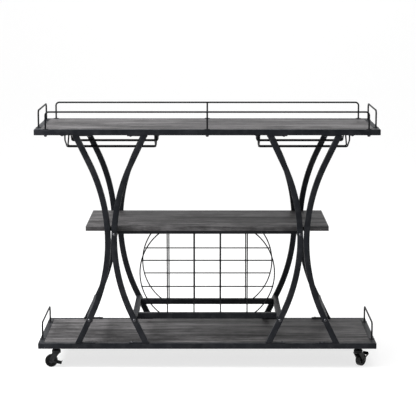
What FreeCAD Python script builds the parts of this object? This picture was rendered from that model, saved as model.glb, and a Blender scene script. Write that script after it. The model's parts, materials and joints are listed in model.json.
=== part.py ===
"""Bar cart on wheels: three wooden tiers in square steel tube, curved legs, a wine grid
and hanging glass rails, on four swivel castors.

Millimetres, +Z up. X runs along the cart, the front faces -Y, and the origin is on the
floor under the middle of the cart. Every length comes from the sheet "Sizes".
"""
import FreeCAD, Part
import math
import os
import Sketcher
from FreeCAD import Placement, Rotation, Vector

SIZES = {
    "length": 1200, "depth": 380,               # outside of the top and bottom frames
    "tube": 20, "wall": 1.5,                    # square steel tube
    "castor_rise": 72, "tier_rise": 761,        # floor to bottom frame, surface to surface
    "board": 16, "board_gap": 0.5,              # board thickness and its gap in the frame
    "lug_size": 25, "lug_thick": 3, "lug_pitch": 350,
    "rail_rise": 60, "rail_wire": 6, "rail_bend": 12, "rail_tail": 26,
    "long_rail": 1120, "end_rail": 250, "rosette": 20, "rosette_rise": 1.5,
    "rail_nut": 10, "rail_nut_rise": 4.8,
    "shelf_length": 853, "shelf_depth": 339, "shelf_drop": 343.5, "shelf_screw": 60,
    "leg_pair": 337, "leg_spread": 118.5, "leg_waist": 11, "leg_lean": 25.5,
    "pad": 3, "bolt_reach": 47, "pad_tail": 12,
    "rack_rise": 288, "rack_set": 110, "grid_pitch": 95, "grid_wire": 4.4,
    "hoop_foot": 171, "hoop_reach": 240,
    "bolt": 6, "bolt_head": 11, "bolt_dome": 3.3, "bolt_grip": 8, "slack": 0.1,
    "glass_wire": 5.4, "glass_drop": 70, "glass_half": 156, "glass_channel": 89,
    "glass_slot": 26, "glass_side": 178, "glass_mid": 39, "glass_knee": 38, "glass_bend": 8,
    "ear_out": 16, "ear_in": 4, "ear_width": 12, "ear_thick": 2, "ear_screw": 10,
    "plate_width": 30, "plate_screw": 9,
    "screw": 4, "screw_head": 8, "screw_rise": 2.4, "screw_bite": 10,
    "castor_x": 538, "castor_y": 160, "castor_plate": 4, "plate_inboard": 22,
    "castor_trail": 18, "wheel": 45, "wheel_width": 18, "tread": 5.5, "tread_round": 2,
    "hub_rim": 2.5, "hub_web": 5, "hub_boss": 12, "hub_length": 20,
    "axle": 6, "axle_head": 10, "axle_head_rise": 1.5, "fork_gap": 23, "fork_plate": 2,
    "fork_foot": 16, "fork_back": 12, "fork_front": 15, "bridge": 50,
    "head": 32, "head_rise": 11, "head_crown": 3.5, "crown": 22,
    "stem": 8, "stem_foot": 48.2, "stem_flange": 12, "flange_rise": 1.5,
    "jam_nut": 13, "jam_nut_rise": 6.5, "running": 0.05,
    "lever_plate": 1, "lever_play": 0.5, "lever_height": 6, "lever_eye": 10,
    "lever_near": 27, "lever_reach": 38, "pedal": 2, "lip": 2, "lip_rise": 4,
}
LEVER_SLOPE = {"front_left": -14, "front_right": 27}      # brake lever's rest, degrees
TRAIL_TURN = {"front_left": 180, "front_right": 50, "rear_left": 205, "rear_right": -20}
SIDE = {"left": -1, "right": 1, "front": -1, "rear": 1}

doc = FreeCAD.newDocument("bar_cart")
sheet = doc.addObject("Spreadsheet::Sheet", "Sizes")
for row, (alias, value) in enumerate(SIZES.items(), start=1):
    sheet.set("A%d" % row, alias)
    sheet.set("B%d" % row, str(value))
    sheet.setAlias("B%d" % row, alias)
doc.recompute()

# Levels, as expressions on the sheet
TOP = "(Sizes.castor_rise + Sizes.tube + Sizes.tier_rise)"
DECK = "(Sizes.castor_rise + Sizes.tube)"
SHELF = "(%s - Sizes.shelf_drop)" % TOP
SHELF_BAR = "(%s - Sizes.board - Sizes.tube)" % SHELF
RACK_BAR = "(%s - Sizes.rack_rise - Sizes.tube)" % SHELF_BAR
LEG_MIDDLE = "((%s + %s - Sizes.tube) / 2)" % (DECK, TOP)
LEG_HALF = "((Sizes.tier_rise - Sizes.tube) / 2 - Sizes.pad)"
SPAN = "(Sizes.depth - 2 * Sizes.tube)"
MEMBER_X = "(Sizes.length / 2 - Sizes.tube / 2)"
MEMBER_Y = "(Sizes.depth / 2 - Sizes.tube / 2)"
# A leg: its bend radius, and its distance from the pair's middle at two levels
LEG_BEND = ("((%s * tan(Sizes.leg_lean) - Sizes.leg_spread + Sizes.leg_waist)"
            " / (sin(Sizes.leg_lean) * tan(Sizes.leg_lean) - 1 + cos(Sizes.leg_lean)))") % LEG_HALF
LEG_AT_RACK = "(Sizes.leg_spread - tan(Sizes.leg_lean) * (%s - %s + %s + Sizes.tube / 2))" % (
    LEG_HALF, LEG_MIDDLE, RACK_BAR)
LEG_AT_SHELF = "(Sizes.leg_waist + %s - sqrt(%s ^ 2 - (%s + Sizes.tube / 2 - %s) ^ 2))" % (
    LEG_BEND, LEG_BEND, SHELF_BAR, LEG_MIDDLE)
# A side hoop of the wine grid: its bend radius and the X of its centre
HOOP_BEND = ("(((Sizes.rack_rise / 2) ^ 2 + (Sizes.hoop_reach - Sizes.hoop_foot) ^ 2)"
             " / (2 * (Sizes.hoop_reach - Sizes.hoop_foot)))")
HOOP_X = "(Sizes.hoop_reach - %s)" % HOOP_BEND
LUG_Y = "(Sizes.depth / 2 - Sizes.tube - Sizes.lug_size / 2)"
AXLE_Z = "Sizes.wheel / 2"
HUB_RADIUS = "(Sizes.wheel / 2 - Sizes.tread)"
SNUG = "(Sizes.bolt / 2 + Sizes.slack)"
PILOT = "(Sizes.screw / 2)"

finished = []


def size(expression):
    """The value that an expression on the sheet has now."""
    return float(sheet.evalExpression(expression))


def keep(item, label):
    """Count an object as a finished sub-part, under its own name."""
    item.Label = label
    finished.append(item)
    return item


def bind(item, **expressions):
    """Bind properties, and x, y and z of the placement, to expressions."""
    for name, expression in expressions.items():
        path = "Placement.Base." + name if name in ("x", "y", "z") else name
        item.setExpression(path, str(expression))
    return item


def box(name, long, wide, high, x, y, z):
    """A box given by its middle in X and Y and by its underside in Z."""
    block = doc.addObject("Part::Box", name)
    return bind(block, Length=long, Width=wide, Height=high, z=z,
                x="%s - (%s) / 2" % (x, long), y="%s - (%s) / 2" % (y, wide))


def rod(name, radius, high, x, y, z, along=(0, 0, 1)):
    """A round bar that starts at a point and runs along a direction."""
    bar = doc.addObject("Part::Cylinder", name)
    bar.Placement.Rotation = Rotation(Vector(0, 0, 1), Vector(*along))
    return bind(bar, Radius=radius, Height=high, x=x, y=y, z=z)


def hexagon(name, across, high, x, y, z):
    """A six-sided prism across its flats."""
    prism = doc.addObject("Part::Prism", name)
    prism.Polygon = 6
    return bind(prism, Circumradius="(%s) / sqrt(3)" % across, Height=high, x=x, y=y, z=z)


def fuse(name, shapes):
    joined = doc.addObject("Part::MultiFuse", name)
    joined.Shapes = shapes
    return joined


def cut(name, base, tool):
    rest = doc.addObject("Part::Cut", name)
    rest.Base = base
    rest.Tool = tool
    return rest


def group(name, shapes):
    together = doc.addObject("Part::Compound", name)
    together.Links = shapes
    return together


def plane(body, role):
    return [f for f in body.Origin.OriginFeatures if f.Role == role][0]


def sketch_on(body, name, role, lift="0"):
    """A sketch on one of the body's own planes, lifted along that plane's normal."""
    sketch = body.newObject("Sketcher::SketchObject", name)
    sketch.AttachmentSupport = [(plane(body, role), "")]
    sketch.MapMode = "FlatFace"
    sketch.setExpression("AttachmentOffset.Base.z", lift)
    return sketch


def limit(sketch, name, kind, *args):
    """Add a named constraint; the last value is the expression that drives it."""
    where, expression = args[:-1], args[-1]
    value = size(expression)
    if kind == "Angle":
        value = math.radians(value)
    index = sketch.addConstraint(Sketcher.Constraint(kind, *where, value))
    sketch.renameConstraint(index, name)
    sketch.setExpression("Constraints." + name, expression)


def circle(sketch, name, x, y, radius):
    """A circle whose middle and radius are bound to expressions."""
    middle = Vector(size(x), size(y), 0)
    ring = sketch.addGeometry(Part.Circle(middle, Vector(0, 0, 1), size(radius)), False)
    limit(sketch, name + "_x", "DistanceX", -1, 1, ring, 3, x)
    limit(sketch, name + "_y", "DistanceY", -1, 1, ring, 3, y)
    limit(sketch, name + "_r", "Radius", ring, radius)


def rectangle(sketch, name, left, low, right, high):
    """A rectangle whose four sides are bound to expressions."""
    x0, y0, x1, y1 = size(left), size(low), size(right), size(high)
    corners = [Vector(x0, y0, 0), Vector(x1, y0, 0), Vector(x1, y1, 0), Vector(x0, y1, 0)]
    first = sketch.GeometryCount
    for k in range(4):
        sketch.addGeometry(Part.LineSegment(corners[k], corners[(k + 1) % 4]), False)
    for k in range(4):
        sketch.addConstraint(Sketcher.Constraint("Coincident", first + k, 2, first + (k + 1) % 4, 1))
        kind = "Horizontal" if k % 2 == 0 else "Vertical"
        sketch.addConstraint(Sketcher.Constraint(kind, first + k))
    limit(sketch, name + "_left", "DistanceX", -1, 1, first, 1, left)
    limit(sketch, name + "_low", "DistanceY", -1, 1, first, 1, low)
    limit(sketch, name + "_right", "DistanceX", -1, 1, first + 2, 1, right)
    limit(sketch, name + "_high", "DistanceY", -1, 1, first + 2, 1, high)


def pad(body, sketch, length, midplane=False):
    feature = body.newObject("PartDesign::Pad", sketch.Name + "_pad")
    feature.Profile = sketch
    feature.setExpression("Length", length)
    feature.Midplane = midplane
    sketch.Visibility = False
    doc.recompute()
    return feature


def pocket(body, sketch, length, midplane=False, reverse=False):
    """Cut a sketch out of the body, and stop if nothing was cut."""
    before = body.Shape.Volume
    feature = body.newObject("PartDesign::Pocket", sketch.Name + "_pocket")
    feature.Profile = sketch
    feature.setExpression("Length", length)
    feature.Midplane = midplane
    feature.Reversed = reverse
    doc.recompute()
    if body.Shape.Volume >= before:
        raise RuntimeError(sketch.Name + " cuts nothing")
    return feature


def new_body(name):
    return doc.addObject("PartDesign::Body", name)


# ---- Top and bottom frames -------------------------------------------------------------

def frame_ring(body, name):
    """The hollow square tube, mitred and welded into a rectangle."""
    outer = sketch_on(body, name + "_ring", "XY_Plane")
    rectangle(outer, "outside", "-Sizes.length / 2", "-Sizes.depth / 2",
              "Sizes.length / 2", "Sizes.depth / 2")
    rectangle(outer, "window", "-(Sizes.length / 2 - Sizes.tube)", "-(Sizes.depth / 2 - Sizes.tube)",
              "Sizes.length / 2 - Sizes.tube", "Sizes.depth / 2 - Sizes.tube")
    pad(body, outer, "Sizes.tube")
    inner = sketch_on(body, name + "_hollow", "XY_Plane", "Sizes.tube / 2")
    reach_x, reach_y = "(Sizes.length / 2 - Sizes.wall)", "(Sizes.depth / 2 - Sizes.wall)"
    rectangle(inner, "outside", "-" + reach_x, "-" + reach_y, reach_x, reach_y)
    reach_x = "(Sizes.length / 2 - Sizes.tube + Sizes.wall)"
    reach_y = "(Sizes.depth / 2 - Sizes.tube + Sizes.wall)"
    rectangle(inner, "window", "-" + reach_x, "-" + reach_y, reach_x, reach_y)
    pocket(body, inner, "Sizes.tube - 2 * Sizes.wall", midplane=True)


def lug_places():
    """Where the lugs under a board stand: three along each long side."""
    return [(along, side) for side in (-1, 1) for along in (-1, 0, 1)]


def lugs(body, name):
    """Small plates inside the frame that carry the board."""
    plates = sketch_on(body, name + "_lugs", "XY_Plane",
                       "Sizes.tube - Sizes.board - Sizes.lug_thick")
    for k, (along, side) in enumerate(lug_places()):
        x, y = "%d * Sizes.lug_pitch" % along, "%d * %s" % (side, LUG_Y)
        rectangle(plates, "lug%d" % k, x + " - Sizes.lug_size / 2", y + " - Sizes.lug_size / 2",
                  x + " + Sizes.lug_size / 2", y + " + Sizes.lug_size / 2")
    pad(body, plates, "Sizes.lug_thick")
    holes = sketch_on(body, name + "_lug_holes", "XY_Plane")
    for k, (along, side) in enumerate(lug_places()):
        circle(holes, "hole%d" % k, "%d * Sizes.lug_pitch" % along, "%d * %s" % (side, LUG_Y),
               "Sizes.screw / 2 + Sizes.slack")
    pocket(body, holes, "Sizes.tube", reverse=True)


def hole_row(body, name, places, radius, depth, lift="0", reverse=True):
    holes = sketch_on(body, name, "XY_Plane", lift)
    for k, (x, y) in enumerate(places):
        circle(holes, "hole%d" % k, x, y, radius)
    pocket(body, holes, depth, reverse=reverse)


def leg_bolt_places():
    """Where the leg pads are bolted: one bolt inboard of each leg end."""
    spots = []
    for side in (-1, 1):
        for hand in (-1, 1):
            x = "%d * Sizes.leg_pair + %d * (Sizes.leg_spread - Sizes.bolt_reach)" % (side, hand)
            spots += [(x, "%d * %s" % (face, MEMBER_Y)) for face in (-1, 1)]
    return spots


def long_rail_places():
    return [("%d * Sizes.long_rail / 2" % k, "%d * %s" % (face, MEMBER_Y))
            for face in (-1, 1) for k in (-1, 0, 1)]


def end_rail_places():
    return [("%d * %s" % (side, MEMBER_X), "%d * Sizes.end_rail / 2" % k)
            for side in (-1, 1) for k in (-1, 1)]


def castor_places():
    return [("%d * Sizes.castor_x" % SIDE[side], "%d * Sizes.castor_y" % SIDE[face])
            for face in ("front", "rear") for side in ("left", "right")]


def castor_plates(body):
    """Corner plates inside the bottom frame that the castor stems are screwed through."""
    plates = sketch_on(body, "castor_plates", "XY_Plane")
    inner_x, inner_y = "(Sizes.length / 2 - Sizes.tube)", "(Sizes.depth / 2 - Sizes.tube)"
    near_x = "(Sizes.castor_x - Sizes.plate_inboard)"
    near_y = "(Sizes.castor_y - Sizes.plate_inboard)"
    for k, (sx, sy) in enumerate([(a, b) for a in (-1, 1) for b in (-1, 1)]):
        x_pair = (near_x, inner_x) if sx > 0 else ("-" + inner_x, "-" + near_x)
        y_pair = (near_y, inner_y) if sy > 0 else ("-" + inner_y, "-" + near_y)
        rectangle(plates, "plate%d" % k, x_pair[0], y_pair[0], x_pair[1], y_pair[1])
    pad(body, plates, "Sizes.castor_plate")


def make_frames():
    top = new_body("top_frame_body")
    frame_ring(top, "top_frame")
    lugs(top, "top_frame")
    hole_row(top, "top_rail_holes", long_rail_places() + end_rail_places(), SNUG, "Sizes.tube")
    hole_row(top, "top_leg_holes", leg_bolt_places(), SNUG, "2 * Sizes.wall")
    side_screws = [(x, y) for x, y, board in glass_screw_places() if not board]
    hole_row(top, "top_glass_holes", side_screws, PILOT, "2 * Sizes.wall")
    bind(top, z=TOP + " - Sizes.tube")
    keep(top, "top_frame")
    deck = new_body("bottom_frame_body")
    frame_ring(deck, "bottom_frame")
    lugs(deck, "bottom_frame")
    castor_plates(deck)
    hole_row(deck, "deck_rail_holes", end_rail_places(), SNUG, "Sizes.tube")
    hole_row(deck, "deck_leg_holes", leg_bolt_places(), SNUG, "2 * Sizes.wall",
             lift="Sizes.tube", reverse=False)
    hole_row(deck, "stem_holes", castor_places(), "Sizes.stem / 2", "Sizes.castor_plate")
    bind(deck, z="Sizes.castor_rise")
    keep(deck, "bottom_frame")


def board(label, long, wide, top, screws):
    """A plain board with blind pilot holes for the screws that come up from below."""
    under = "%s - Sizes.board" % top
    plank = box(label + "_plank", long, wide, "Sizes.board", "0", "0", under)
    pilots = [rod("%s_pilot%d" % (label, k), PILOT, "Sizes.screw_bite", x, y, under)
              for k, (x, y) in enumerate(screws)]
    keep(cut(label + "_drilled", plank, group(label + "_pilots", pilots)), label)


def make_boards():
    inset = "2 * (Sizes.tube + Sizes.board_gap)"
    long, wide = "(Sizes.length - %s)" % inset, "(Sizes.depth - %s)" % inset
    lug_screws = [("%d * Sizes.lug_pitch" % along, "%d * %s" % (side, LUG_Y))
                  for along, side in lug_places()]
    plate_screws = [(x, y) for x, y, into_board in glass_screw_places() if into_board]
    board("top_board", long, wide, TOP, lug_screws + plate_screws)
    board("bottom_board", long, wide, DECK, lug_screws)
    board("middle_board", "Sizes.shelf_length", "Sizes.shelf_depth", SHELF, shelf_screw_places())


# ---- Guard rails -----------------------------------------------------------------------

def arch_path(body, name, half):
    """Path of a rail: up, round a bend, along, round a bend and down."""
    path = sketch_on(body, name + "_path", "XZ_Plane")
    x, top, low, r = size(half), size("Sizes.rail_rise"), -size("Sizes.rail_tail"), size("Sizes.rail_bend")
    turn = math.pi / 2
    path.addGeometry(Part.LineSegment(Vector(-x, low, 0), Vector(-x, top - r, 0)), False)
    path.addGeometry(Part.ArcOfCircle(Part.Circle(Vector(-x + r, top - r, 0), Vector(0, 0, 1), r),
                                      turn, 2 * turn), False)
    path.addGeometry(Part.LineSegment(Vector(-x + r, top, 0), Vector(x - r, top, 0)), False)
    path.addGeometry(Part.ArcOfCircle(Part.Circle(Vector(x - r, top - r, 0), Vector(0, 0, 1), r),
                                      0, turn), False)
    path.addGeometry(Part.LineSegment(Vector(x, top - r, 0), Vector(x, low, 0)), False)
    for a, a_end, b, b_end in ((0, 2, 1, 2), (1, 1, 2, 1), (2, 2, 3, 2), (3, 1, 4, 1)):
        path.addConstraint(Sketcher.Constraint("Tangent", a, a_end, b, b_end))
    path.addConstraint(Sketcher.Constraint("Vertical", 0))
    path.addConstraint(Sketcher.Constraint("Vertical", 4))
    limit(path, "left", "DistanceX", -1, 1, 0, 1, "-" + half)
    limit(path, "right", "DistanceX", -1, 1, 4, 2, half)
    limit(path, "low_left", "DistanceY", -1, 1, 0, 1, "-Sizes.rail_tail")
    limit(path, "low_right", "DistanceY", -1, 1, 4, 2, "-Sizes.rail_tail")
    limit(path, "top", "DistanceY", -1, 1, 2, 1, "Sizes.rail_rise")
    limit(path, "bend", "Radius", 1, "Sizes.rail_bend")
    path.addConstraint(Sketcher.Constraint("Equal", 1, 3))
    return path


def rail(label, half, posts, turn, x, y, level):
    """A bent wire guard rail with rosettes on its feet and threaded tails below them."""
    body = new_body(label + "_body")
    path = arch_path(body, label, half)
    ring = sketch_on(body, label + "_wire", "XY_Plane", "-Sizes.rail_tail")
    circle(ring, "wire", "-" + half, "0", "Sizes.rail_wire / 2")
    sweep = body.newObject("PartDesign::AdditivePipe", label + "_sweep")
    sweep.Profile = ring
    sweep.Spine = (path, ["Edge%d" % k for k in range(1, 6)])
    doc.recompute()
    if 0 in posts:
        post = sketch_on(body, label + "_post", "XY_Plane", "-Sizes.rail_tail")
        circle(post, "post", "0", "0", "Sizes.rail_wire / 2")
        pad(body, post, "Sizes.rail_tail + Sizes.rail_rise")
    feet = sketch_on(body, label + "_feet", "XY_Plane")
    for k, place in enumerate(posts):
        circle(feet, "foot%d" % k, "%d * %s" % (place, half), "0", "Sizes.rosette / 2")
    pad(body, feet, "Sizes.rosette_rise")
    body.Placement.Rotation = Rotation(Vector(0, 0, 1), turn)
    bind(body, x=x, y=y, z=level)
    keep(body, label)


def make_rails():
    for face in ("front", "rear"):
        rail("top_%s_rail" % face, "(Sizes.long_rail / 2)", (-1, 0, 1), 0, "0",
             "%d * %s" % (SIDE[face], MEMBER_Y), TOP)
    for tier, level in (("top", TOP), ("bottom", DECK)):
        for side in ("left", "right"):
            rail("%s_%s_rail" % (tier, side), "(Sizes.end_rail / 2)", (-1, 1), 90,
                 "%d * %s" % (SIDE[side], MEMBER_X), "0", level)
    nuts = []
    places = [(x, y, TOP) for x, y in long_rail_places() + end_rail_places()]
    places += [(x, y, DECK) for x, y in end_rail_places()]
    for k, (x, y, level) in enumerate(places):
        under = level + " - Sizes.tube - Sizes.rail_nut_rise"
        blank = hexagon("rail_nut_blank%d" % k, "Sizes.rail_nut", "Sizes.rail_nut_rise", x, y,
                        under)
        bore = rod("rail_nut_bore%d" % k, "Sizes.rail_wire / 2 + Sizes.running",
                   "Sizes.rail_nut_rise", x, y, under)
        nuts.append(cut("rail_nut%d" % k, blank, bore))
    keep(group("rail_nut_group", nuts), "rail_nuts")


# ---- Legs ------------------------------------------------------------------------------

def leg_outline(sketch, margin):
    """The band of a leg seen from the front, narrowed by a margin on each side.

    Two concentric arcs, four tangent straights and two level ends. The waist is nearest
    the pair's middle and both ends lean away from it, to the left.
    """
    lean = math.radians(size("Sizes.leg_lean"))
    half, radius, hub_x = size(LEG_HALF), size(LEG_BEND), size("-Sizes.leg_waist - %s" % LEG_BEND)
    band = "(Sizes.tube / 2 - %s)" % margin
    sides = []
    for r in (radius + size(band), radius - size(band)):
        circle_at = Part.Circle(Vector(hub_x, 0, 0), Vector(0, 0, 1), r)
        bend_x, bend_z = hub_x + r * math.cos(lean), r * math.sin(lean)
        end_x = bend_x - (half - bend_z) * math.tan(lean)
        arc = sketch.addGeometry(Part.ArcOfCircle(circle_at, -lean, lean), False)
        up = sketch.addGeometry(Part.LineSegment(Vector(bend_x, bend_z, 0),
                                                 Vector(end_x, half, 0)), False)
        down = sketch.addGeometry(Part.LineSegment(Vector(bend_x, -bend_z, 0),
                                                   Vector(end_x, -half, 0)), False)
        sketch.addConstraint(Sketcher.Constraint("Tangent", arc, 2, up, 1))
        sketch.addConstraint(Sketcher.Constraint("Tangent", arc, 1, down, 1))
        sketch.addConstraint(Sketcher.Constraint("Vertical", up, 1, down, 1))
        sides.append((arc, up, down, end_x))
    (arc_a, up_a, down_a, x_a), (arc_b, up_b, down_b, x_b) = sides
    for name, one, other, z in (("top", up_a, up_b, half), ("low", down_a, down_b, -half)):
        end = sketch.addGeometry(Part.LineSegment(Vector(x_a, z, 0), Vector(x_b, z, 0)), False)
        sketch.addConstraint(Sketcher.Constraint("Coincident", end, 1, one, 2))
        sketch.addConstraint(Sketcher.Constraint("Coincident", end, 2, other, 2))
        sketch.addConstraint(Sketcher.Constraint("Horizontal", end))
        limit(sketch, name, "DistanceY", -1, 1, end, 1, LEG_HALF if z > 0 else "-" + LEG_HALF)
    sketch.addConstraint(Sketcher.Constraint("Coincident", arc_a, 3, arc_b, 3))
    sketch.addConstraint(Sketcher.Constraint("PointOnObject", arc_a, 3, -1))
    sketch.addConstraint(Sketcher.Constraint("Parallel", up_a, up_b))
    limit(sketch, "lean", "Angle", up_a, "90 + Sizes.leg_lean")
    limit(sketch, "centre", "DistanceX", -1, 1, arc_a, 3, "-Sizes.leg_waist - %s" % LEG_BEND)
    limit(sketch, "outer_bend", "Radius", arc_a, "%s + %s" % (LEG_BEND, band))
    limit(sketch, "inner_bend", "Radius", arc_b, "%s - %s" % (LEG_BEND, band))


def leg(label, side, face, hand, levels):
    """A bent square tube with a bolting pad on each end and holes at the given levels."""
    body = new_body(label + "_body")
    outline = sketch_on(body, label + "_outline", "XZ_Plane")
    leg_outline(outline, "0")
    pad(body, outline, "Sizes.tube", midplane=True)
    bore = sketch_on(body, label + "_bore", "XZ_Plane")
    leg_outline(bore, "Sizes.wall")
    pocket(body, bore, "Sizes.tube - 2 * Sizes.wall", midplane=True)
    outer = "-Sizes.leg_spread - Sizes.tube / 2 / cos(Sizes.leg_lean)"
    inner = "-Sizes.leg_spread + Sizes.bolt_reach + Sizes.pad_tail"
    for end, lift in (("top", LEG_HALF), ("low", "-%s - Sizes.pad" % LEG_HALF)):
        plate = sketch_on(body, "%s_%s_pad" % (label, end), "XY_Plane", lift)
        rectangle(plate, "plate", outer, "-Sizes.tube / 2", inner, "Sizes.tube / 2")
        circle(plate, "hole", "-Sizes.leg_spread + Sizes.bolt_reach", "0", SNUG)
        pad(body, plate, "Sizes.pad")
    holes = sketch_on(body, label + "_holes", "XZ_Plane")
    for k, (offset, level) in enumerate(levels):
        circle(holes, "hole%d" % k, "-" + offset, "%s + Sizes.tube / 2 - %s" % (level, LEG_MIDDLE),
               SNUG)
    pocket(body, holes, "2 * Sizes.tube", midplane=True)
    body.Placement.Rotation = Rotation(Vector(0, 0, 1), 0 if hand < 0 else 180)
    bind(body, x="%d * Sizes.leg_pair" % side, y="%d * %s" % (face, MEMBER_Y), z=LEG_MIDDLE)
    keep(body, label)


def make_legs():
    rack, shelf = (LEG_AT_RACK, RACK_BAR), (LEG_AT_SHELF, SHELF_BAR)
    for face in ("front", "rear"):
        for side in ("left", "right"):
            leg("%s_%s_outer_leg" % (face, side), SIDE[side], SIDE[face], SIDE[side], [rack])
            leg("%s_%s_inner_leg" % (face, side), SIDE[side], SIDE[face], -SIDE[side],
                [rack, shelf])


# ---- Shelf frame, rack frame and stretchers ---------------------------------------------

def hollow_bar(name, long, wide, x, y, z):
    """A closed length of square tube lying along X or Y."""
    core = "(%s) - 2 * Sizes.wall"
    outside = box(name + "_outside", long, wide, "Sizes.tube", x, y, z)
    inside = box(name + "_inside", core % long, core % wide, core % "Sizes.tube",
                 x, y, "%s + Sizes.wall" % z)
    return cut(name, outside, inside)


def end_holes(name, x, z):
    """Bores for the bolts that enter both ends of a bar along Y."""
    return rod(name, SNUG, SPAN, x, "-%s / 2" % SPAN, "%s + Sizes.tube / 2" % z, (0, 1, 0))


def ladder(label, side_x, level, upright_holes):
    """Two bars between the front and rear legs, joined by two cross bars."""
    bars, tools = [], []
    for k in (-1, 1):
        x = "%d * %s" % (k, side_x)
        bars.append(hollow_bar("%s_side%d" % (label, k), "Sizes.tube", SPAN, x, "0", level))
        bars.append(hollow_bar("%s_cross%d" % (label, k), "2 * %s - Sizes.tube" % side_x,
                               "Sizes.tube", "0", "%d * Sizes.rack_set" % k, level))
        tools.append(end_holes("%s_bore%d" % (label, k), x, level))
    if upright_holes:
        tools += [rod("%s_screw_bore%d" % (label, k), "Sizes.screw / 2 + Sizes.slack",
                      "Sizes.tube", x, y, level)
                  for k, (x, y) in enumerate(shelf_screw_places())]
    keep(cut(label + "_drilled", fuse(label + "_welded", bars), group(label + "_bores", tools)),
         label)


def shelf_screw_places():
    return [("%d * %s" % (side, "(Sizes.leg_pair - %s)" % LEG_AT_SHELF), "%d * Sizes.shelf_screw" % end)
            for side in (-1, 1) for end in (-1, 1)]


def make_bars():
    ladder("shelf_frame", "(Sizes.leg_pair - %s)" % LEG_AT_SHELF, SHELF_BAR, True)
    ladder("rack_frame", "(Sizes.leg_pair - %s)" % LEG_AT_RACK, RACK_BAR, False)
    for side in ("left", "right"):
        x = "%d * (Sizes.leg_pair + %s)" % (SIDE[side], LEG_AT_RACK)
        bar = hollow_bar(side + "_stretcher_bar", "Sizes.tube", SPAN, x, "0", RACK_BAR)
        keep(cut(side + "_stretcher_drilled", bar, end_holes(side + "_stretcher_bore", x, RACK_BAR)),
             side + "_stretcher")


# ---- Wine grids ------------------------------------------------------------------------

def make_grid(face):
    """Uprights, cross wires and side hoops; the cross wires lie against the uprights' outside."""
    at = "(%d * (Sizes.rack_set))" % SIDE[face]
    cross_y = "%d * (Sizes.rack_set + Sizes.grid_wire)" % SIDE[face]
    foot = RACK_BAR + " + Sizes.tube"
    middle = "%s + Sizes.rack_rise / 2" % foot
    uprights = [rod("%s_upright%d" % (face, k), "Sizes.grid_wire / 2", "Sizes.rack_rise",
                    "%g * Sizes.grid_pitch" % (k - 1.5), at, foot) for k in range(4)]
    keep(group(face + "_upright_set", uprights), face + "_grid_uprights")
    half = "(%s + sqrt(%s ^ 2 - (Sizes.grid_pitch / 2) ^ 2) + Sizes.grid_wire / 2)" % (
        HOOP_X, HOOP_BEND)
    wires = [rod("%s_cross%d" % (face, k), "Sizes.grid_wire / 2", "2 * " + half, "-" + half,
                 cross_y, "%s + %d * Sizes.grid_pitch / 2" % (middle, k), (1, 0, 0))
             for k in (-1, 1)]
    keep(group(face + "_cross_set", wires), face + "_grid_crosswires")
    hoops = [hoop("%s_hoop%d" % (face, k), k, at, foot, middle) for k in (-1, 1)]
    keep(group(face + "_hoop_set", hoops), face + "_grid_hoops")


def hoop(name, side, y, foot, middle):
    """An arc of wire standing between the two bars, bowed outwards."""
    arc = doc.addObject("Part::Torus", name + "_ring")
    arc.Placement.Rotation = Rotation(Vector(1, 0, 0), 90)
    bind(arc, Radius1=HOOP_BEND, Radius2="Sizes.grid_wire / 2", y=y, z=middle,
         x="%d * %s" % (side, HOOP_X))
    slab = box(name + "_slab", "Sizes.hoop_reach", "3 * Sizes.grid_wire", "Sizes.rack_rise",
               "%d * Sizes.hoop_reach" % side, y, foot)
    bow = doc.addObject("Part::MultiCommon", name)
    bow.Shapes = [arc, slab]
    return bow


# ---- Hanging glass rails ----------------------------------------------------------------

def bent_wire(points, radius, bend):
    """A round wire along a run of points, with every corner bent to a radius."""
    edges, start = [], points[0]
    for before, corner, after in zip(points, points[1:], points[2:]):
        inward, outward = (before - corner).normalize(), (after - corner).normalize()
        half_turn = inward.getAngle(outward) / 2
        run = bend / math.tan(half_turn)
        first, last = corner + inward * run, corner + outward * run
        bisector = (inward + outward).normalize()
        deep = corner + bisector * (bend / math.sin(half_turn) - bend)
        edges += [Part.makeLine(start, first), Part.Arc(first, deep, last).toShape()]
        start = last
    edges.append(Part.makeLine(start, points[-1]))
    ring = Part.Wire([Part.makeCircle(radius, points[0], points[1] - points[0])])
    return Part.Wire(edges).makePipeShell([ring], True, False)


def ear(x, y, top, half_width, screws):
    """A flat screwing ear that reaches outwards from a wire's end."""
    side = 1 if x > 0 else -1
    near, far = x - side * size("Sizes.ear_in"), x + side * size("Sizes.ear_out")
    thick = size("Sizes.ear_thick")
    plate = Part.makeBox(abs(far - near), 2 * half_width, thick,
                         Vector(min(near, far), y - half_width, top - thick))
    for offset in screws:
        hole = Part.makeCylinder(size("Sizes.screw / 2 + Sizes.slack"), thick,
                                 Vector(x + side * size("Sizes.ear_screw"), y + offset, top - thick))
        plate = plate.cut(hole)
    return plate


def side_wire():
    """Outer wire of a glass channel: hangs from two ears under the long frame tube."""
    half, drop, under = size("Sizes.glass_half"), size("Sizes.glass_drop"), size("Sizes.tube")
    run_y, far_y = -size("Sizes.glass_channel + Sizes.glass_slot / 2"), -size("Sizes.glass_side")
    knee, thick = size("Sizes.glass_knee"), size("Sizes.ear_thick")
    left = [Vector(-half, far_y, -under - thick), Vector(-half, far_y, -knee),
            Vector(-half, run_y, -drop)]
    right = [Vector(half, p.y, p.z) for p in reversed(left)]
    wire = bent_wire(left + right, size("Sizes.glass_wire / 2"), size("Sizes.glass_bend"))
    wide = size("Sizes.ear_width / 2")
    return wire.fuse([ear(x, far_y, -under, wide, [0]) for x in (-half, half)])


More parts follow.
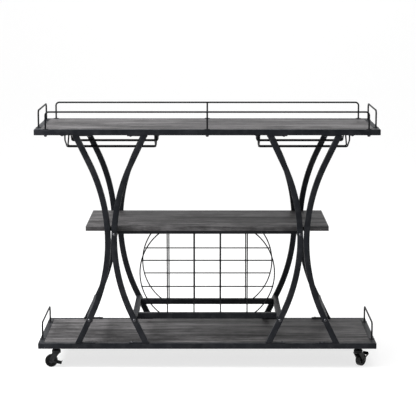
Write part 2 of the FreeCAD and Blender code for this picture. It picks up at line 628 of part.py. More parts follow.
def middle_loop():
    """The two inner wires as one loop, hung from two plates under the board's middle."""
    half, drop, knee = size("Sizes.glass_half"), size("Sizes.glass_drop"), size("Sizes.glass_knee")
    run_y, post_y = -size("Sizes.glass_channel - Sizes.glass_slot / 2"), -size("Sizes.glass_mid")
    under = -size("Sizes.board + Sizes.ear_thick + Sizes.glass_wire / 2")
    left = [Vector(-half, 0, under), Vector(-half, post_y, under), Vector(-half, post_y, -knee),
            Vector(-half, run_y, -drop)]
    right = [Vector(half, p.y, p.z) for p in reversed(left)]
    front = bent_wire(left + right, size("Sizes.glass_wire / 2"), size("Sizes.glass_bend"))
    rear = front.mirror(Vector(0, 0, 0), Vector(0, 1, 0))
    wide, off = size("Sizes.plate_width / 2"), size("Sizes.plate_screw")
    plates = [ear(x, 0, -size("Sizes.board"), wide, [-off, off]) for x in (-half, half)]
    return front.fuse([rear] + plates)


def place_wire(label, shape, side, turn):
    """Stand a bent wire in the cart; a wire turns in space, so its shape is set here."""
    item = doc.addObject("Part::Feature", label + "_wire")
    item.Shape = shape
    item.Placement = Placement(Vector(0, 0, 0), Rotation(Vector(0, 0, 1), turn))
    bind(item, x="%d * Sizes.leg_pair" % SIDE[side], y="0", z=TOP)
    keep(item, label)


def make_glass_rails():
    outer, inner = side_wire(), middle_loop()
    for side in ("left", "right"):
        place_wire(side + "_glass_front_wire", outer, side, 0)
        place_wire(side + "_glass_middle_loop", inner, side, 0)
        place_wire(side + "_glass_rear_wire", outer, side, 180)


def glass_screw_places():
    """Screws of the glass rails: (x, y, into the board)."""
    spots = []
    for side in (-1, 1):
        for end in (-1, 1):
            x = "%d * Sizes.leg_pair + %d * (Sizes.glass_half + Sizes.ear_screw)" % (side, end)
            for k in (-1, 1):
                spots.append((x, "%d * Sizes.glass_side" % k, False))
                spots.append((x, "%d * Sizes.plate_screw" % k, True))
    return spots


# ---- Bolts and screws -------------------------------------------------------------------

def fastener(name, head, shank_radius, length, x, y, z, along):
    """Join a head and its shank; the shank starts at the point and runs along the direction."""
    shank = rod(name + "_shank", shank_radius, length, "0", "0", "0")
    item = fuse(name, [head, shank])
    item.Placement.Rotation = Rotation(Vector(0, 0, 1), Vector(*along))
    return bind(item, x=x, y=y, z=z)


def domed_bolt(name, grip, x, y, z, along):
    """A round-topped bolt whose head stands behind the point."""
    ball = "((Sizes.bolt_head / 2) ^ 2 + Sizes.bolt_dome ^ 2) / (2 * Sizes.bolt_dome)"
    dome = doc.addObject("Part::Sphere", name + "_dome")
    dome.Placement.Rotation = Rotation(Vector(1, 0, 0), 180)
    bind(dome, Radius=ball, Angle1="asin(1 - Sizes.bolt_dome / (%s))" % ball,
         z="%s - Sizes.bolt_dome" % ball)
    return fastener(name, dome, "Sizes.bolt / 2", grip, x, y, z, along)


def screw(name, length, x, y, z):
    """A pan-headed screw driven upwards."""
    head = rod(name + "_head", "Sizes.screw_head / 2", "Sizes.screw_rise", "0", "0",
               "-Sizes.screw_rise")
    return fastener(name, head, "Sizes.screw / 2", length, x, y, z, (0, 0, 1))


def make_leg_bolts():
    bolts = []
    grip = "Sizes.pad + Sizes.bolt_grip"
    for k, (x, y) in enumerate(leg_bolt_places()):
        under_top = "%s - Sizes.tube - Sizes.pad" % TOP
        bolts.append(domed_bolt("leg_bolt_high%d" % k, grip, x, y, under_top, (0, 0, 1)))
        bolts.append(domed_bolt("leg_bolt_low%d" % k, grip, x, y, "%s + Sizes.pad" % DECK,
                                (0, 0, -1)))
    keep(group("leg_bolt_group", bolts), "leg_bolts")


def make_frame_bolts():
    bolts = []
    bars = [("(Sizes.leg_pair - %s)" % LEG_AT_SHELF, SHELF_BAR),
            ("(Sizes.leg_pair - %s)" % LEG_AT_RACK, RACK_BAR),
            ("(Sizes.leg_pair + %s)" % LEG_AT_RACK, RACK_BAR)]
    for k, (x, level) in enumerate(bars):
        for side in (-1, 1):
            for face in (-1, 1):
                bolts.append(domed_bolt("frame_bolt%d%+d%+d" % (k, side, face),
                                        "Sizes.tube + Sizes.bolt_grip", "%d * %s" % (side, x),
                                        "%d * Sizes.depth / 2" % face,
                                        "%s + Sizes.tube / 2" % level, (0, -face, 0)))
    keep(group("frame_bolt_group", bolts), "frame_bolts")


def make_screws():
    lug_grip = "Sizes.lug_thick + Sizes.screw_bite"
    screws = []
    for tier, level in (("top", TOP), ("deck", DECK)):
        for k, (along, side) in enumerate(lug_places()):
            screws.append(screw("%s_board_screw%d" % (tier, k), lug_grip,
                                "%d * Sizes.lug_pitch" % along, "%d * %s" % (side, LUG_Y),
                                "%s - Sizes.board - Sizes.lug_thick" % level))
    for k, (x, y) in enumerate(shelf_screw_places()):
        screws.append(screw("shelf_screw%d" % k, "Sizes.tube + Sizes.screw_bite", x, y, SHELF_BAR))
    keep(group("board_screw_group", screws), "board_screws")
    hung = []
    for k, (x, y, board) in enumerate(glass_screw_places()):
        above = "Sizes.board" if board else "Sizes.tube"
        hung.append(screw("glass_screw%d" % k, "Sizes.ear_thick + Sizes.screw_bite", x, y,
                          "%s - %s - Sizes.ear_thick" % (TOP, above)))
    keep(group("glass_screw_group", hung), "glass_rail_screws")


# ---- Castors ---------------------------------------------------------------------------

def disc(name, radius, width, x, z):
    """A round slice centred across the castor, its axis along Y."""
    return rod(name, radius, width, x, "-(%s) / 2" % width, z, (0, 1, 0))


def stand(item, label, place, turn):
    """Stand a castor part under its stem and turn it about that stem."""
    x, y = place
    item.Placement.Rotation = Rotation(Vector(0, 0, 1), turn)
    bind(item, x=x, y=y)
    return keep(item, label)


def fork(label, place, turn):
    """A pressed fork: two tapering cheeks, a bridge, a round head and a crown."""
    cheeks = doc.addObject("Part::Wedge", label + "_cheeks")
    cheeks.Placement.Rotation = Rotation(Vector(1, 0, 0), 90)
    wide = "(Sizes.fork_gap / 2 + Sizes.fork_plate)"
    foot = "Sizes.fork_foot / 2"
    bind(cheeks, Ymin=AXLE_Z, Ymax="Sizes.bridge + Sizes.fork_plate",
         Xmin="Sizes.castor_trail - " + foot, Xmax="Sizes.castor_trail + " + foot,
         Zmin="-" + wide, Zmax=wide, Z2min="-" + wide, Z2max=wide,
         X2min="-Sizes.fork_back", X2max="Sizes.fork_front")
    rounds = disc(label + "_rounds", foot, "2 * " + wide, "Sizes.castor_trail", AXLE_Z)
    space = box(label + "_space", "4 * Sizes.wheel", "Sizes.fork_gap", "Sizes.bridge",
                "0", "0", "0")
    plates = cut(label + "_plates", fuse(label + "_pressing", [cheeks, rounds]), space)
    head = rod(label + "_head", "Sizes.head / 2", "Sizes.head_rise", "0", "0", "Sizes.bridge")
    crown = doc.addObject("Part::Cone", label + "_crown")
    bind(crown, Radius1="Sizes.head / 2", Radius2="Sizes.crown / 2", Height="Sizes.head_crown",
         z="Sizes.bridge + Sizes.head_rise")
    bores = group(label + "_bores", [
        rod(label + "_stem_bore", "Sizes.stem / 2 + Sizes.running", "Sizes.castor_rise", "0", "0",
            "0"),
        disc(label + "_axle_bore", "Sizes.axle / 2 + Sizes.running", "2 * Sizes.head",
             "Sizes.castor_trail", AXLE_Z)])
    stand(cut(label + "_bored", fuse(label + "_body", [plates, head, crown]), bores), label,
          place, turn)


def tyre(label, place, turn):
    """The tread ring, eased on both edges."""
    outer, round_off = "Sizes.wheel / 2", "Sizes.tread_round"
    shapes = [disc(label + "_tread", outer, "Sizes.wheel_width - 2 * " + round_off,
                   "Sizes.castor_trail", AXLE_Z)]
    for side in (-1, 1):
        edge = doc.addObject("Part::Cone", "%s_edge%d" % (label, side))
        edge.Placement.Rotation = Rotation(Vector(0, 0, 1), Vector(0, side, 0))
        bind(edge, Radius1=outer, Radius2="%s - %s" % (outer, round_off), Height=round_off,
             x="Sizes.castor_trail", z=AXLE_Z,
             y="%d * (Sizes.wheel_width / 2 - %s)" % (side, round_off))
        shapes.append(edge)
    bore = disc(label + "_bore", HUB_RADIUS, "2 * Sizes.wheel_width", "Sizes.castor_trail", AXLE_Z)
    stand(cut(label + "_ring", fuse(label + "_solid", shapes), bore), label, place, turn)


def hub(label, place, turn):
    """The wheel centre: rim, web and boss, bored for the axle."""
    x = "Sizes.castor_trail"
    rim_hole = "%s - Sizes.hub_rim" % HUB_RADIUS
    width = "(Sizes.wheel_width - Sizes.tread_round)"
    rim = cut(label + "_rim", disc(label + "_rim_disc", HUB_RADIUS, width, x, AXLE_Z),
              disc(label + "_rim_hole", rim_hole, "2 * " + width, x, AXLE_Z))
    web = disc(label + "_web", rim_hole, "Sizes.hub_web", x, AXLE_Z)
    boss = disc(label + "_boss", "Sizes.hub_boss / 2", "Sizes.hub_length", x, AXLE_Z)
    bore = disc(label + "_bore", "Sizes.axle / 2 + Sizes.running", "2 * Sizes.hub_length", x,
                AXLE_Z)
    stand(cut(label + "_bored", fuse(label + "_body", [rim, web, boss]), bore), label, place, turn)


def axle(label, place, turn):
    """A riveted pin with a flat head outside each cheek."""
    x, out = "Sizes.castor_trail", "(Sizes.fork_gap + 2 * Sizes.fork_plate)"
    pin = disc(label + "_pin", "Sizes.axle / 2", out, x, AXLE_Z)
    heads = []
    for side in (-1, 1):
        start = "%d * %s / 2" % (side, out)
        heads.append(rod("%s_head%d" % (label, side), "Sizes.axle_head / 2",
                         "Sizes.axle_head_rise", x, start, AXLE_Z, (0, side, 0)))
    stand(fuse(label + "_riveted", [pin] + heads), label, place, turn)


def brake_lever(label, place, turn, slope, faces_stem):
    """A stirrup that hangs on the axle inside the fork and ends in a foot pedal."""
    wide = "(Sizes.fork_gap - Sizes.lever_play)"
    inside = "(%s - 2 * Sizes.lever_plate)" % wide
    arms = box(label + "_arms", "Sizes.lever_reach", wide, "Sizes.lever_height",
               "Sizes.lever_reach / 2", "0", "-Sizes.lever_height / 2")
    eye = disc(label + "_eye", "Sizes.lever_eye / 2", wide, "0", "0")
    lip = box(label + "_lip", "Sizes.lip", wide, "Sizes.lip_rise",
              "Sizes.lever_reach - Sizes.lip / 2", "0", "Sizes.lever_height / 2")
    gap = box(label + "_gap", "2 * Sizes.lever_near", inside, "2 * Sizes.lever_eye",
              "0", "0", "-Sizes.lever_eye")
    under = box(label + "_under", "2 * Sizes.lever_reach", inside, "Sizes.lever_height",
                "Sizes.lever_reach", "0", "-Sizes.lever_height / 2 - Sizes.pedal")
    bore = disc(label + "_bore", "Sizes.axle / 2 + Sizes.running", "2 * Sizes.fork_gap", "0", "0")
    stirrup = cut(label + "_stirrup", fuse(label + "_blank", [arms, eye, lip]),
                  group(label + "_tools", [gap, under, bore]))
    way = turn + (180 if faces_stem else 0)
    stirrup.Placement.Rotation = (Rotation(Vector(0, 0, 1), way)
                                  * Rotation(Vector(0, 1, 0), -slope))
    x, y = place
    bind(stirrup, x="%s + Sizes.castor_trail * cos(%g)" % (x, turn), z=AXLE_Z,
         y="%s + Sizes.castor_trail * sin(%g)" % (y, turn))
    keep(stirrup, label)


def make_castors():
    stems, nuts = [], []
    names = ["%s_%s" % (face, side) for face in ("front", "rear") for side in ("left", "right")]
    for name, place in zip(names, castor_places()):
        turn = TRAIL_TURN[name]
        fork(name + "_fork", place, turn)
        tyre(name + "_tyre", place, turn)
        hub(name + "_hub", place, turn)
        axle(name + "_axle", place, turn)
        x, y = place
        shank = rod(name + "_shank", "Sizes.stem / 2",
                    "Sizes.castor_rise + Sizes.castor_plate - Sizes.stem_foot", x, y,
                    "Sizes.stem_foot")
        flange = rod(name + "_flange", "Sizes.stem_flange / 2", "Sizes.flange_rise", x, y,
                     "Sizes.stem_foot")
        stems.append(fuse(name + "_stem", [shank, flange]))
        under = "Sizes.castor_rise - Sizes.jam_nut_rise"
        blank = hexagon(name + "_jam_blank", "Sizes.jam_nut", "Sizes.jam_nut_rise", x, y, under)
        bore = rod(name + "_jam_bore", "Sizes.stem / 2 + Sizes.running", "Sizes.jam_nut_rise", x,
                   y, under)
        nuts.append(cut(name + "_jam_nut", blank, bore))
    for name, slope in LEVER_SLOPE.items():
        place = castor_places()[names.index(name)]
        brake_lever(name + "_brake_lever", place, TRAIL_TURN[name], slope, slope < 0)
    keep(group("stem_group", stems), "castor_stems")
    keep(group("jam_nut_group", nuts), "castor_nuts")


# ---- Build, check and write -------------------------------------------------------------

def check_and_write():
    doc.recompute()
    for item in doc.Objects:
        if "Invalid" in item.State or "Error" in item.State:
            raise RuntimeError("%s is %s" % (item.Name, item.State))
    for item in finished:
        if item.Shape.isNull() or not item.Shape.isValid() or not item.Shape.Solids:
            raise RuntimeError(item.Label + " has no sound shape")
    os.makedirs("parts", exist_ok=True)
    for item in finished:
        item.Shape.exportStep("parts/%s.step" % item.Label)


make_frames()
make_boards()
make_rails()
make_legs()
make_bars()
for grid_face in ("front", "rear"):
    make_grid(grid_face)
make_glass_rails()
make_leg_bolts()
make_frame_bolts()
make_screws()
make_castors()
check_and_write()
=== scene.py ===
"""Looks of the bar cart: every visible piece is worked out as a numpy surface around the
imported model, in metres, and finished with node materials at real scale."""
import json
import math
import bpy
import numpy as np
from mathutils import Matrix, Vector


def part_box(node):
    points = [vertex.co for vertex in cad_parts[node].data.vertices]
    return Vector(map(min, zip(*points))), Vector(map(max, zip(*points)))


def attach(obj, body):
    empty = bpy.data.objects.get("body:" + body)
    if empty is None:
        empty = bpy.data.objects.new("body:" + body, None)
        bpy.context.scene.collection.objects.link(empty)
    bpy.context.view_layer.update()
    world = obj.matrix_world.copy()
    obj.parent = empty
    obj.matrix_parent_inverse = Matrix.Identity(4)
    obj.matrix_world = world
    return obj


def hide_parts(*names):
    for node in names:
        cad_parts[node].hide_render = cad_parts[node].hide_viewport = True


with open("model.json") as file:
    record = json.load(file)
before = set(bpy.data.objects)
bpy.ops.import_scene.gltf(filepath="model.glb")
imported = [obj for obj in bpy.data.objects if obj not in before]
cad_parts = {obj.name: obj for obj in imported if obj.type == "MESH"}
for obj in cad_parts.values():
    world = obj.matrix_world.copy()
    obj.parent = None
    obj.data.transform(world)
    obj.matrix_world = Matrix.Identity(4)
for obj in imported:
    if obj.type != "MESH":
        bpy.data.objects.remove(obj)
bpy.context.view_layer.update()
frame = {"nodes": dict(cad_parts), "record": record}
MM = 0.001
RIPPLE = 2.2 * MM       # length of one swell of a weld bead


# ---- Surfaces ----

def grid_faces(rows, cols, wrap_rows=False, wrap_cols=True):
    """Quads of a rows x cols grid of points, row-major, wrapping round where asked."""
    i = np.arange(rows if wrap_rows else rows - 1)[:, None]
    j = np.arange(cols if wrap_cols else cols - 1)[None, :]
    a, b = i * cols + j, i * cols + (j + 1) % cols
    c, d = ((i + 1) % rows) * cols + (j + 1) % cols, ((i + 1) % rows) * cols + j
    return np.stack([a, b, c, d], axis=-1).reshape(-1, 4)


class Shape:
    """Points, faces and an edge mask (1 on corners that wear), gathered from many surfaces.

    A surface whose enclosed volume, the sum of its faces' triple products, comes out below
    zero has its faces turned over, so every one of them looks outwards.
    """

    def __init__(self):
        self.points, self.faces, self.edges, self.count = [], [], [], 0

    def add(self, points, faces, edge=0.0):
        """Add points (N, 3) with their faces; edge is one number or one per point."""
        points = np.asarray(points, float).reshape(-1, 3)
        self.points.append(points)
        self.edges.append(np.broadcast_to(np.asarray(edge, float).ravel(), (len(points),)))
        self.faces += [tuple(int(k) + self.count for k in face) for face in faces]
        self.count += len(points)
        return self

    def surface(self, grid, edge=0.0, closed=False):
        """Add a grid of loops (rows, cols, 3); the ends are capped unless it closes."""
        rows, cols = grid.shape[:2]
        quads = grid_faces(rows, cols, wrap_rows=closed)
        faces = quads.tolist()
        if not closed:
            faces += [list(range(cols))[::-1], list(range((rows - 1) * cols, rows * cols))]
        flat = grid.reshape(-1, 3) - grid.reshape(-1, 3).mean(axis=0)
        a, b, c, d = (flat[quads[:, k]] for k in range(4))
        inside_out = np.sum(np.cross(a, b) * c + np.cross(a, c) * d) < 0
        return self.add(grid, [f[::-1] for f in faces] if inside_out else faces, edge)

    def join(self, other, turn=None, shift=(0, 0, 0)):
        """Add another shape, turned by a 3x3 matrix and then shifted."""
        points = np.concatenate(other.points)
        if turn is not None:
            points = points @ np.asarray(turn, float).T
        return self.add(points + np.asarray(shift, float), other.faces,
                        np.concatenate(other.edges))


def turns(n):
    """n even angles round a full turn."""
    return 2 * np.pi * np.arange(n) / n


def ring(radius, n):
    """n points on a circle: (r cos t, r sin t)."""
    t = turns(n)
    return radius * np.stack([np.cos(t), np.sin(t)], axis=-1)


def level_loop(radius, t, z):
    """A loop about +Z at angles t: (r cos t, r sin t, z); r and z may change round it."""
    return np.column_stack([radius * np.cos(t), radius * np.sin(t), z + 0 * t])


def rounded_square(half_u, half_v, radius, steps=4):
    """Outline of a rectangle with quarter-circle corners, and a mask that is 1 on them.

    Corner k is centred at (half - radius) along both axes, and its points are
    centre + radius (cos t, sin t) for t over a quarter turn.
    """
    t = np.linspace(0, np.pi / 2, steps)
    points, edge = [], []
    for k, (su, sv) in enumerate([(1, 1), (-1, 1), (-1, -1), (1, -1)]):
        angle = t + k * np.pi / 2
        centre = np.array([su * (half_u - radius), sv * (half_v - radius)])
        points.append(centre + radius * np.stack([np.cos(angle), np.sin(angle)], axis=-1))
        edge.append(np.sin(2 * t) * 0.5 + 0.5)
    return np.concatenate(points), np.concatenate(edge)


def turn_to(direction):
    """A 3x3 matrix that takes +Z to a direction."""
    z = np.asarray(direction, float) / np.linalg.norm(direction)
    x = np.cross((0, 1, 0) if abs(z[1]) < 0.9 else (1, 0, 0), z)
    x /= np.linalg.norm(x)
    return np.stack([x, np.cross(z, x), z], axis=-1)


def spin_z(angle):
    """A 3x3 matrix that turns about +Z by an angle in degrees."""
    c, s = math.cos(math.radians(angle)), math.sin(math.radians(angle))
    return np.array([[c, -s, 0], [s, c, 0], [0, 0, 1]])


def bend_path(corners, bend, steps=7):
    """A run of points whose corners are replaced by arcs of a radius.

    At a corner with unit directions a (back) and b (on) and half angle h between them, the
    arc's centre lies at bend / sin h along (a + b), and its points turn from tangent point
    to tangent point, each bend / tan h from the corner.
    """
    corners = [np.asarray(c, float) for c in corners]
    path = [corners[0]]
    for before, here, after in zip(corners, corners[1:], corners[2:]):
        a, b = before - here, after - here
        a, b = a / np.linalg.norm(a), b / np.linalg.norm(b)
        h = math.acos(max(-1, min(1, a @ b))) / 2
        axis = (a + b) / np.linalg.norm(a + b)
        side = (b - a) / np.linalg.norm(b - a)
        centre = here + axis * bend / math.sin(h)
        sweep = np.linspace(-(math.pi / 2 - h), math.pi / 2 - h, steps)[:, None]
        path += list(centre - axis * bend * np.cos(sweep) + side * bend * np.sin(sweep))
    return np.array(path + [corners[-1]])


def path_frames(path, closed=False):
    """Tangent and two normals at each point of a path, carried along without twisting.

    Each normal is the one before with its part along the new tangent taken away.
    """
    if closed:
        tangent = np.roll(path, -1, axis=0) - np.roll(path, 1, axis=0)
    else:
        tangent = np.gradient(path, axis=0)
    tangent /= np.linalg.norm(tangent, axis=1)[:, None]
    normal = np.zeros_like(tangent)
    start = np.eye(3)[np.argmin(np.abs(tangent[0]))]
    for k, direction in enumerate(tangent):
        start = start - direction * (start @ direction)
        start /= np.linalg.norm(start)
        normal[k] = start
    return tangent, normal, np.cross(tangent, normal)


def round_loops(path, radius, sides, closed):
    """Circles along a path, path + r (n cos t + b sin t), and the path's tangents."""
    tangent, normal, other = path_frames(path, closed)
    section = ring(1.0, sides)
    return path[:, None] + radius * (section[None, :, :1] * normal[:, None]
                                     + section[None, :, 1:] * other[:, None]), tangent


def wire(path, radius, sides=14, closed=False, soft=True):
    """A round wire along a path; its ends are soft, drawn in over 0.35 of its radius."""
    loops, tangent = round_loops(path, radius, sides, closed)
    if soft and not closed:
        ease = radius * 0.35
        first = path[0] + (loops[:1] - path[0]) * 0.65
        last = path[-1] + (loops[-1] - path[-1]) * 0.65
        inner_a = loops[0] + tangent[0] * ease
        inner_b = loops[-1] - tangent[-1] * ease
        loops = np.concatenate([first, inner_a[None], loops[1:-1], inner_b[None], last[None]])
    return Shape().surface(loops, closed=closed)


def turned(profile, sides):
    """The loops (r cos t, r sin t, z) of a profile's points (r, z)."""
    profile = np.asarray(profile, float)
    return np.concatenate([profile[:, None, :1] * ring(1.0, sides)[None],
                           np.broadcast_to(profile[:, None, 1:], (len(profile), sides, 1))],
                          axis=-1)


def lathe(profile, sides=32, edge=0.0):
    """A turned piece about +Z: (r cos t, r sin t, z) for each (r, z) of the profile.

    The profile runs from the axis or a bore upwards round the outside; a profile that
    starts and ends off the axis closes on itself.
    """
    grid = turned(profile, sides)
    masks = np.repeat(np.broadcast_to(edge, (len(profile),)), sides)
    if min(profile[0, 0], profile[-1, 0]) > 0:
        return Shape().surface(grid, masks, closed=True)
    return Shape().surface(grid[1:-1], masks[sides:-sides])


def eased(points, radius, steps=4):
    """A profile whose inner corners are rounded, as bend_path does, in two dimensions."""
    flat = [np.append(np.asarray(p, float), 0.0) for p in points]
    return bend_path(flat, radius, steps)[:, :2]


def slab(one, other, ease, corner=None, steps=4):
    """A plate between two opposite corners, with rounded upright corners and eased rims.

    Level by level the outline shrinks by ease (1 - cos a) while z moves by ease sin a, so
    each rim is a quarter circle.
    """
    lo, hi = np.minimum(one, other), np.maximum(one, other)
    half, centre = (hi - lo) / 2, (hi + lo) / 2
    corner = max(corner or ease, ease * 1.01)
    a = np.linspace(0, np.pi / 2, steps)
    loops, masks = [], []
    for sign in (-1, 1):
        for angle in a[::sign]:
            inset = ease * (1 - math.cos(angle))
            outline, mask = rounded_square(half[0] - inset, half[1] - inset, corner - inset * 0.99)
            z = sign * (half[2] - ease + ease * math.sin(angle))
            loops.append(np.column_stack([outline, np.full(len(outline), z)]))
            masks.append(np.maximum(mask * 0.6, math.sin(2 * angle)))
    return Shape().surface(np.array(loops) + centre, np.concatenate(masks))


def hexagon(flat, t):
    """Radius of a hexagon at angles t: a / cos t, t taken modulo 60 degrees from a flat."""
    return flat / np.cos((t + np.pi / 6) % (np.pi / 3) - np.pi / 6)


def hex_nut(across, low, high, bore, sides=48):
    """A hexagon nut, its rims cut by a cone.

    Where the hexagon stands outside the flats' circle, the rim drops by 0.55 of the excess.
    """
    flat, t = across / 2, turns(sides)
    outer = hexagon(flat, t)
    drop, face = 0.1 * MM + 0.55 * (outer - flat), flat * 0.97
    rows = [(bore, low), (face, low), (outer, low + drop), (outer, high - drop), (face, high),
            (bore, high)]
    grid = np.array([level_loop(radius, t, z) for radius, z in rows])
    return Shape().surface(grid, np.repeat([0, .5, 1, 1, .5, 0], sides), closed=True)


def socket_bolt(radius, rise, socket=2.0 * MM, steps=7, sides=36):
    """A domed head on z = 0 with a hexagon socket sunk in its top.

    The dome is a ball cap, z(r) = sqrt(R^2 - r^2) - (R - rise), R from the cap's radius and
    rise. The socket is a hexagon wall down to 0.4 of the rise.
    """
    ball = (radius ** 2 + rise ** 2) / (2 * rise)
    t = turns(sides)
    wall = hexagon(socket, t)
    def cap(r):
        return np.sqrt(ball ** 2 - r ** 2) - (ball - rise)
    loops = [level_loop(radius * 0.97, t, 0.0)]
    loops += [level_loop(r, t, max(cap(r), 0.25 * MM))
              for r in np.linspace(radius, socket * 1.3, steps)]
    loops += [level_loop(wall, t, cap(wall)), level_loop(wall, t, rise * 0.4)]
    masks = [0.2] + [0.3] * steps + [1.0, 0.0]
    return Shape().surface(np.array(loops), np.repeat(masks, sides))


def run_lengths(path):
    """How far along a run of points each one lies."""
    return np.concatenate([[0], np.cumsum(np.linalg.norm(np.diff(path, axis=0), axis=1))])


def bead(path, radius, sides=8):
    """A weld bead round a closed path: its radius swells as r (0.85 + 0.3 |sin(pi s / RIPPLE)|)."""
    swell = (0.85 + 0.3 * np.abs(np.sin(np.pi * run_lengths(path) / RIPPLE)))[:, None, None]
    return Shape().surface(round_loops(path, radius * swell, sides, True)[0], closed=True)


def resample(path, count):
    """Evenly spaced points round a closed run of points, in two or three dimensions."""
    path = np.vstack([path, path[:1]])
    s = run_lengths(path)
    at = np.linspace(0, s[-1], count + 1)[:count]
    return np.column_stack([np.interp(at, s, column) for column in path.T])


def placed(name, data):
    """A new object in the scene."""
    item = bpy.data.objects.new(name, data)
    bpy.context.scene.collection.objects.link(item)
    return item


def make(name, shape, material, node, body="cart"):
    """Put a shape into a mesh object that rides on a body and stands for a CAD node."""
    mesh = bpy.data.meshes.new(name)
    points = np.concatenate(shape.points)
    mesh.from_pydata(points.tolist(), [], shape.faces)
    mesh.attributes.new("edge", "FLOAT", "POINT").data.foreach_set(
        "value", np.concatenate(shape.edges).astype(np.float32))
    mesh.validate()
    mesh.update()
    mesh.polygons.foreach_set("use_smooth", [True] * len(mesh.polygons))
    mesh.set_sharp_from_angle(angle=math.radians(38))
    item = placed(name, mesh)
    mesh.materials.append(MATERIALS[material])
    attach(item, body)
    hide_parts(node)


# ---- Materials ----

def feed(tree, node, **values):
    """Give a node its inputs, called by name or as in0, in1 and so on.

    A value that is itself a socket is linked; a colour is made opaque.
    """
    for key, value in values.items():
        number = key.removeprefix("in")
        socket = node.inputs[int(number) if number.isdigit() else key.replace("_", " ")]
        if isinstance(value, bpy.types.NodeSocket):
            tree.links.new(value, socket)
        else:
            socket.default_value = (*value, 1.0) if socket.type == "RGBA" else value


def put(tree, kind, **values):
    """Add a node; each value sets one of its properties or feeds one of its inputs."""
    node = tree.nodes.new(kind)
    for key, value in values.items():
        if hasattr(node, key):
            setattr(node, key, value)
        else:
            feed(tree, node, **{key: value})
    return node


def ramp(tree, value, *stops):
    """Turn a value into another through two stops of (place, level)."""
    (a, low), (b, high) = stops
    return put(tree, "ShaderNodeMapRange", interpolation_type="SMOOTHSTEP", in0=value, in1=a,
               in2=b, in3=low, in4=high).outputs[0]


def math_node(operation):
    """A function that adds a Math node of one kind and gives its result."""
    return lambda tree, a, b: put(tree, "ShaderNodeMath", operation=operation, in0=a,
                                  in1=b).outputs[0]


times, plus, minus = math_node("MULTIPLY"), math_node("ADD"), math_node("SUBTRACT")


def mix(tree, factor, a, b):
    """Blend two colours by a factor."""
    return put(tree, "ShaderNodeMix", data_type="RGBA", in0=factor, in6=a, in7=b).outputs[2]


def layers(tree, colour, *coats):
    """Lay colours over a colour, each through its own factor."""
    for factor, tone in coats:
        colour = mix(tree, factor, colour, tone)
    return colour


def tinted(amount, colour):
    """A colour scaled by an amount."""
    return tuple(amount * c for c in colour)


def noise(tree, where, scale, detail=3.0, rough=0.55):
    """A noise pattern's grey value."""
    return put(tree, "ShaderNodeTexNoise", Vector=where, Scale=scale, Detail=detail,
               Roughness=rough).outputs["Fac"]


def stretched(tree, where, scale):
    """Coordinates stretched by a Mapping node; a pattern gets long along the small scales."""
    return put(tree, "ShaderNodeMapping", Vector=where, Scale=scale).outputs[0]


def group(name, inputs, outputs, build):
    """A shader node group with named number inputs and outputs, filled in by build."""
    tree = bpy.data.node_groups.new(name, "ShaderNodeTree")
    for label, value in inputs:
        socket = tree.interface.new_socket(label, in_out="INPUT", socket_type="NodeSocketFloat")
        socket.default_value = value
    for label in outputs:
        tree.interface.new_socket(label, in_out="OUTPUT", socket_type="NodeSocketFloat")
    given = tree.nodes.new("NodeGroupInput")
    where = put(tree, "ShaderNodeTexCoord").outputs["Object"]
    results = build(tree, {s.name: s for s in given.outputs}, where)
    last = tree.nodes.new("NodeGroupOutput")
    for label, socket in zip(outputs, results):
        tree.links.new(socket, last.inputs[label])
    return tree


def build_wear(tree, given, where):
    """Rubbed edges: the piece's edge mask, broken up by patches and fine scratches."""
    edge = put(tree, "ShaderNodeAttribute", attribute_name="edge").outputs["Fac"]
    patches = ramp(tree, noise(tree, where, 38.0, 4.0), (0.42, 0.0), (0.66, 1.0))
    fine = ramp(tree, noise(tree, where, 900.0, 2.0), (0.35, 0.2), (0.7, 1.0))
    return [times(tree, times(tree, times(tree, edge, patches), fine), given["Amount"])]


def build_coat(tree, given, where):
    """Baked powder: a soft orange peel about 1.5 mm across with fine grains in it."""
    peel = noise(tree, where, 620.0, 2.0)
    grains = noise(tree, where, 2600.0, 1.0)
    drift = noise(tree, where, 7.0, 3.0)
    height = plus(tree, times(tree, peel, 0.7), times(tree, grains, 0.3))
    return [height, drift, ramp(tree, grains, (0.45, 0.0), (0.8, 1.0))]


def build_dust(tree, given, where):
    """Fine dust that settles on faces that look up."""
    up = put(tree, "ShaderNodeSeparateXYZ", in0=put(tree, "ShaderNodeNewGeometry").outputs[
        "Normal"]).outputs[2]
    level = ramp(tree, up, (0.6, 0.0), (1.0, 1.0))
    clouds = ramp(tree, noise(tree, where, 22.0, 5.0), (0.38, 0.15), (0.7, 1.0))
    return [times(tree, times(tree, level, clouds), given["Amount"])]


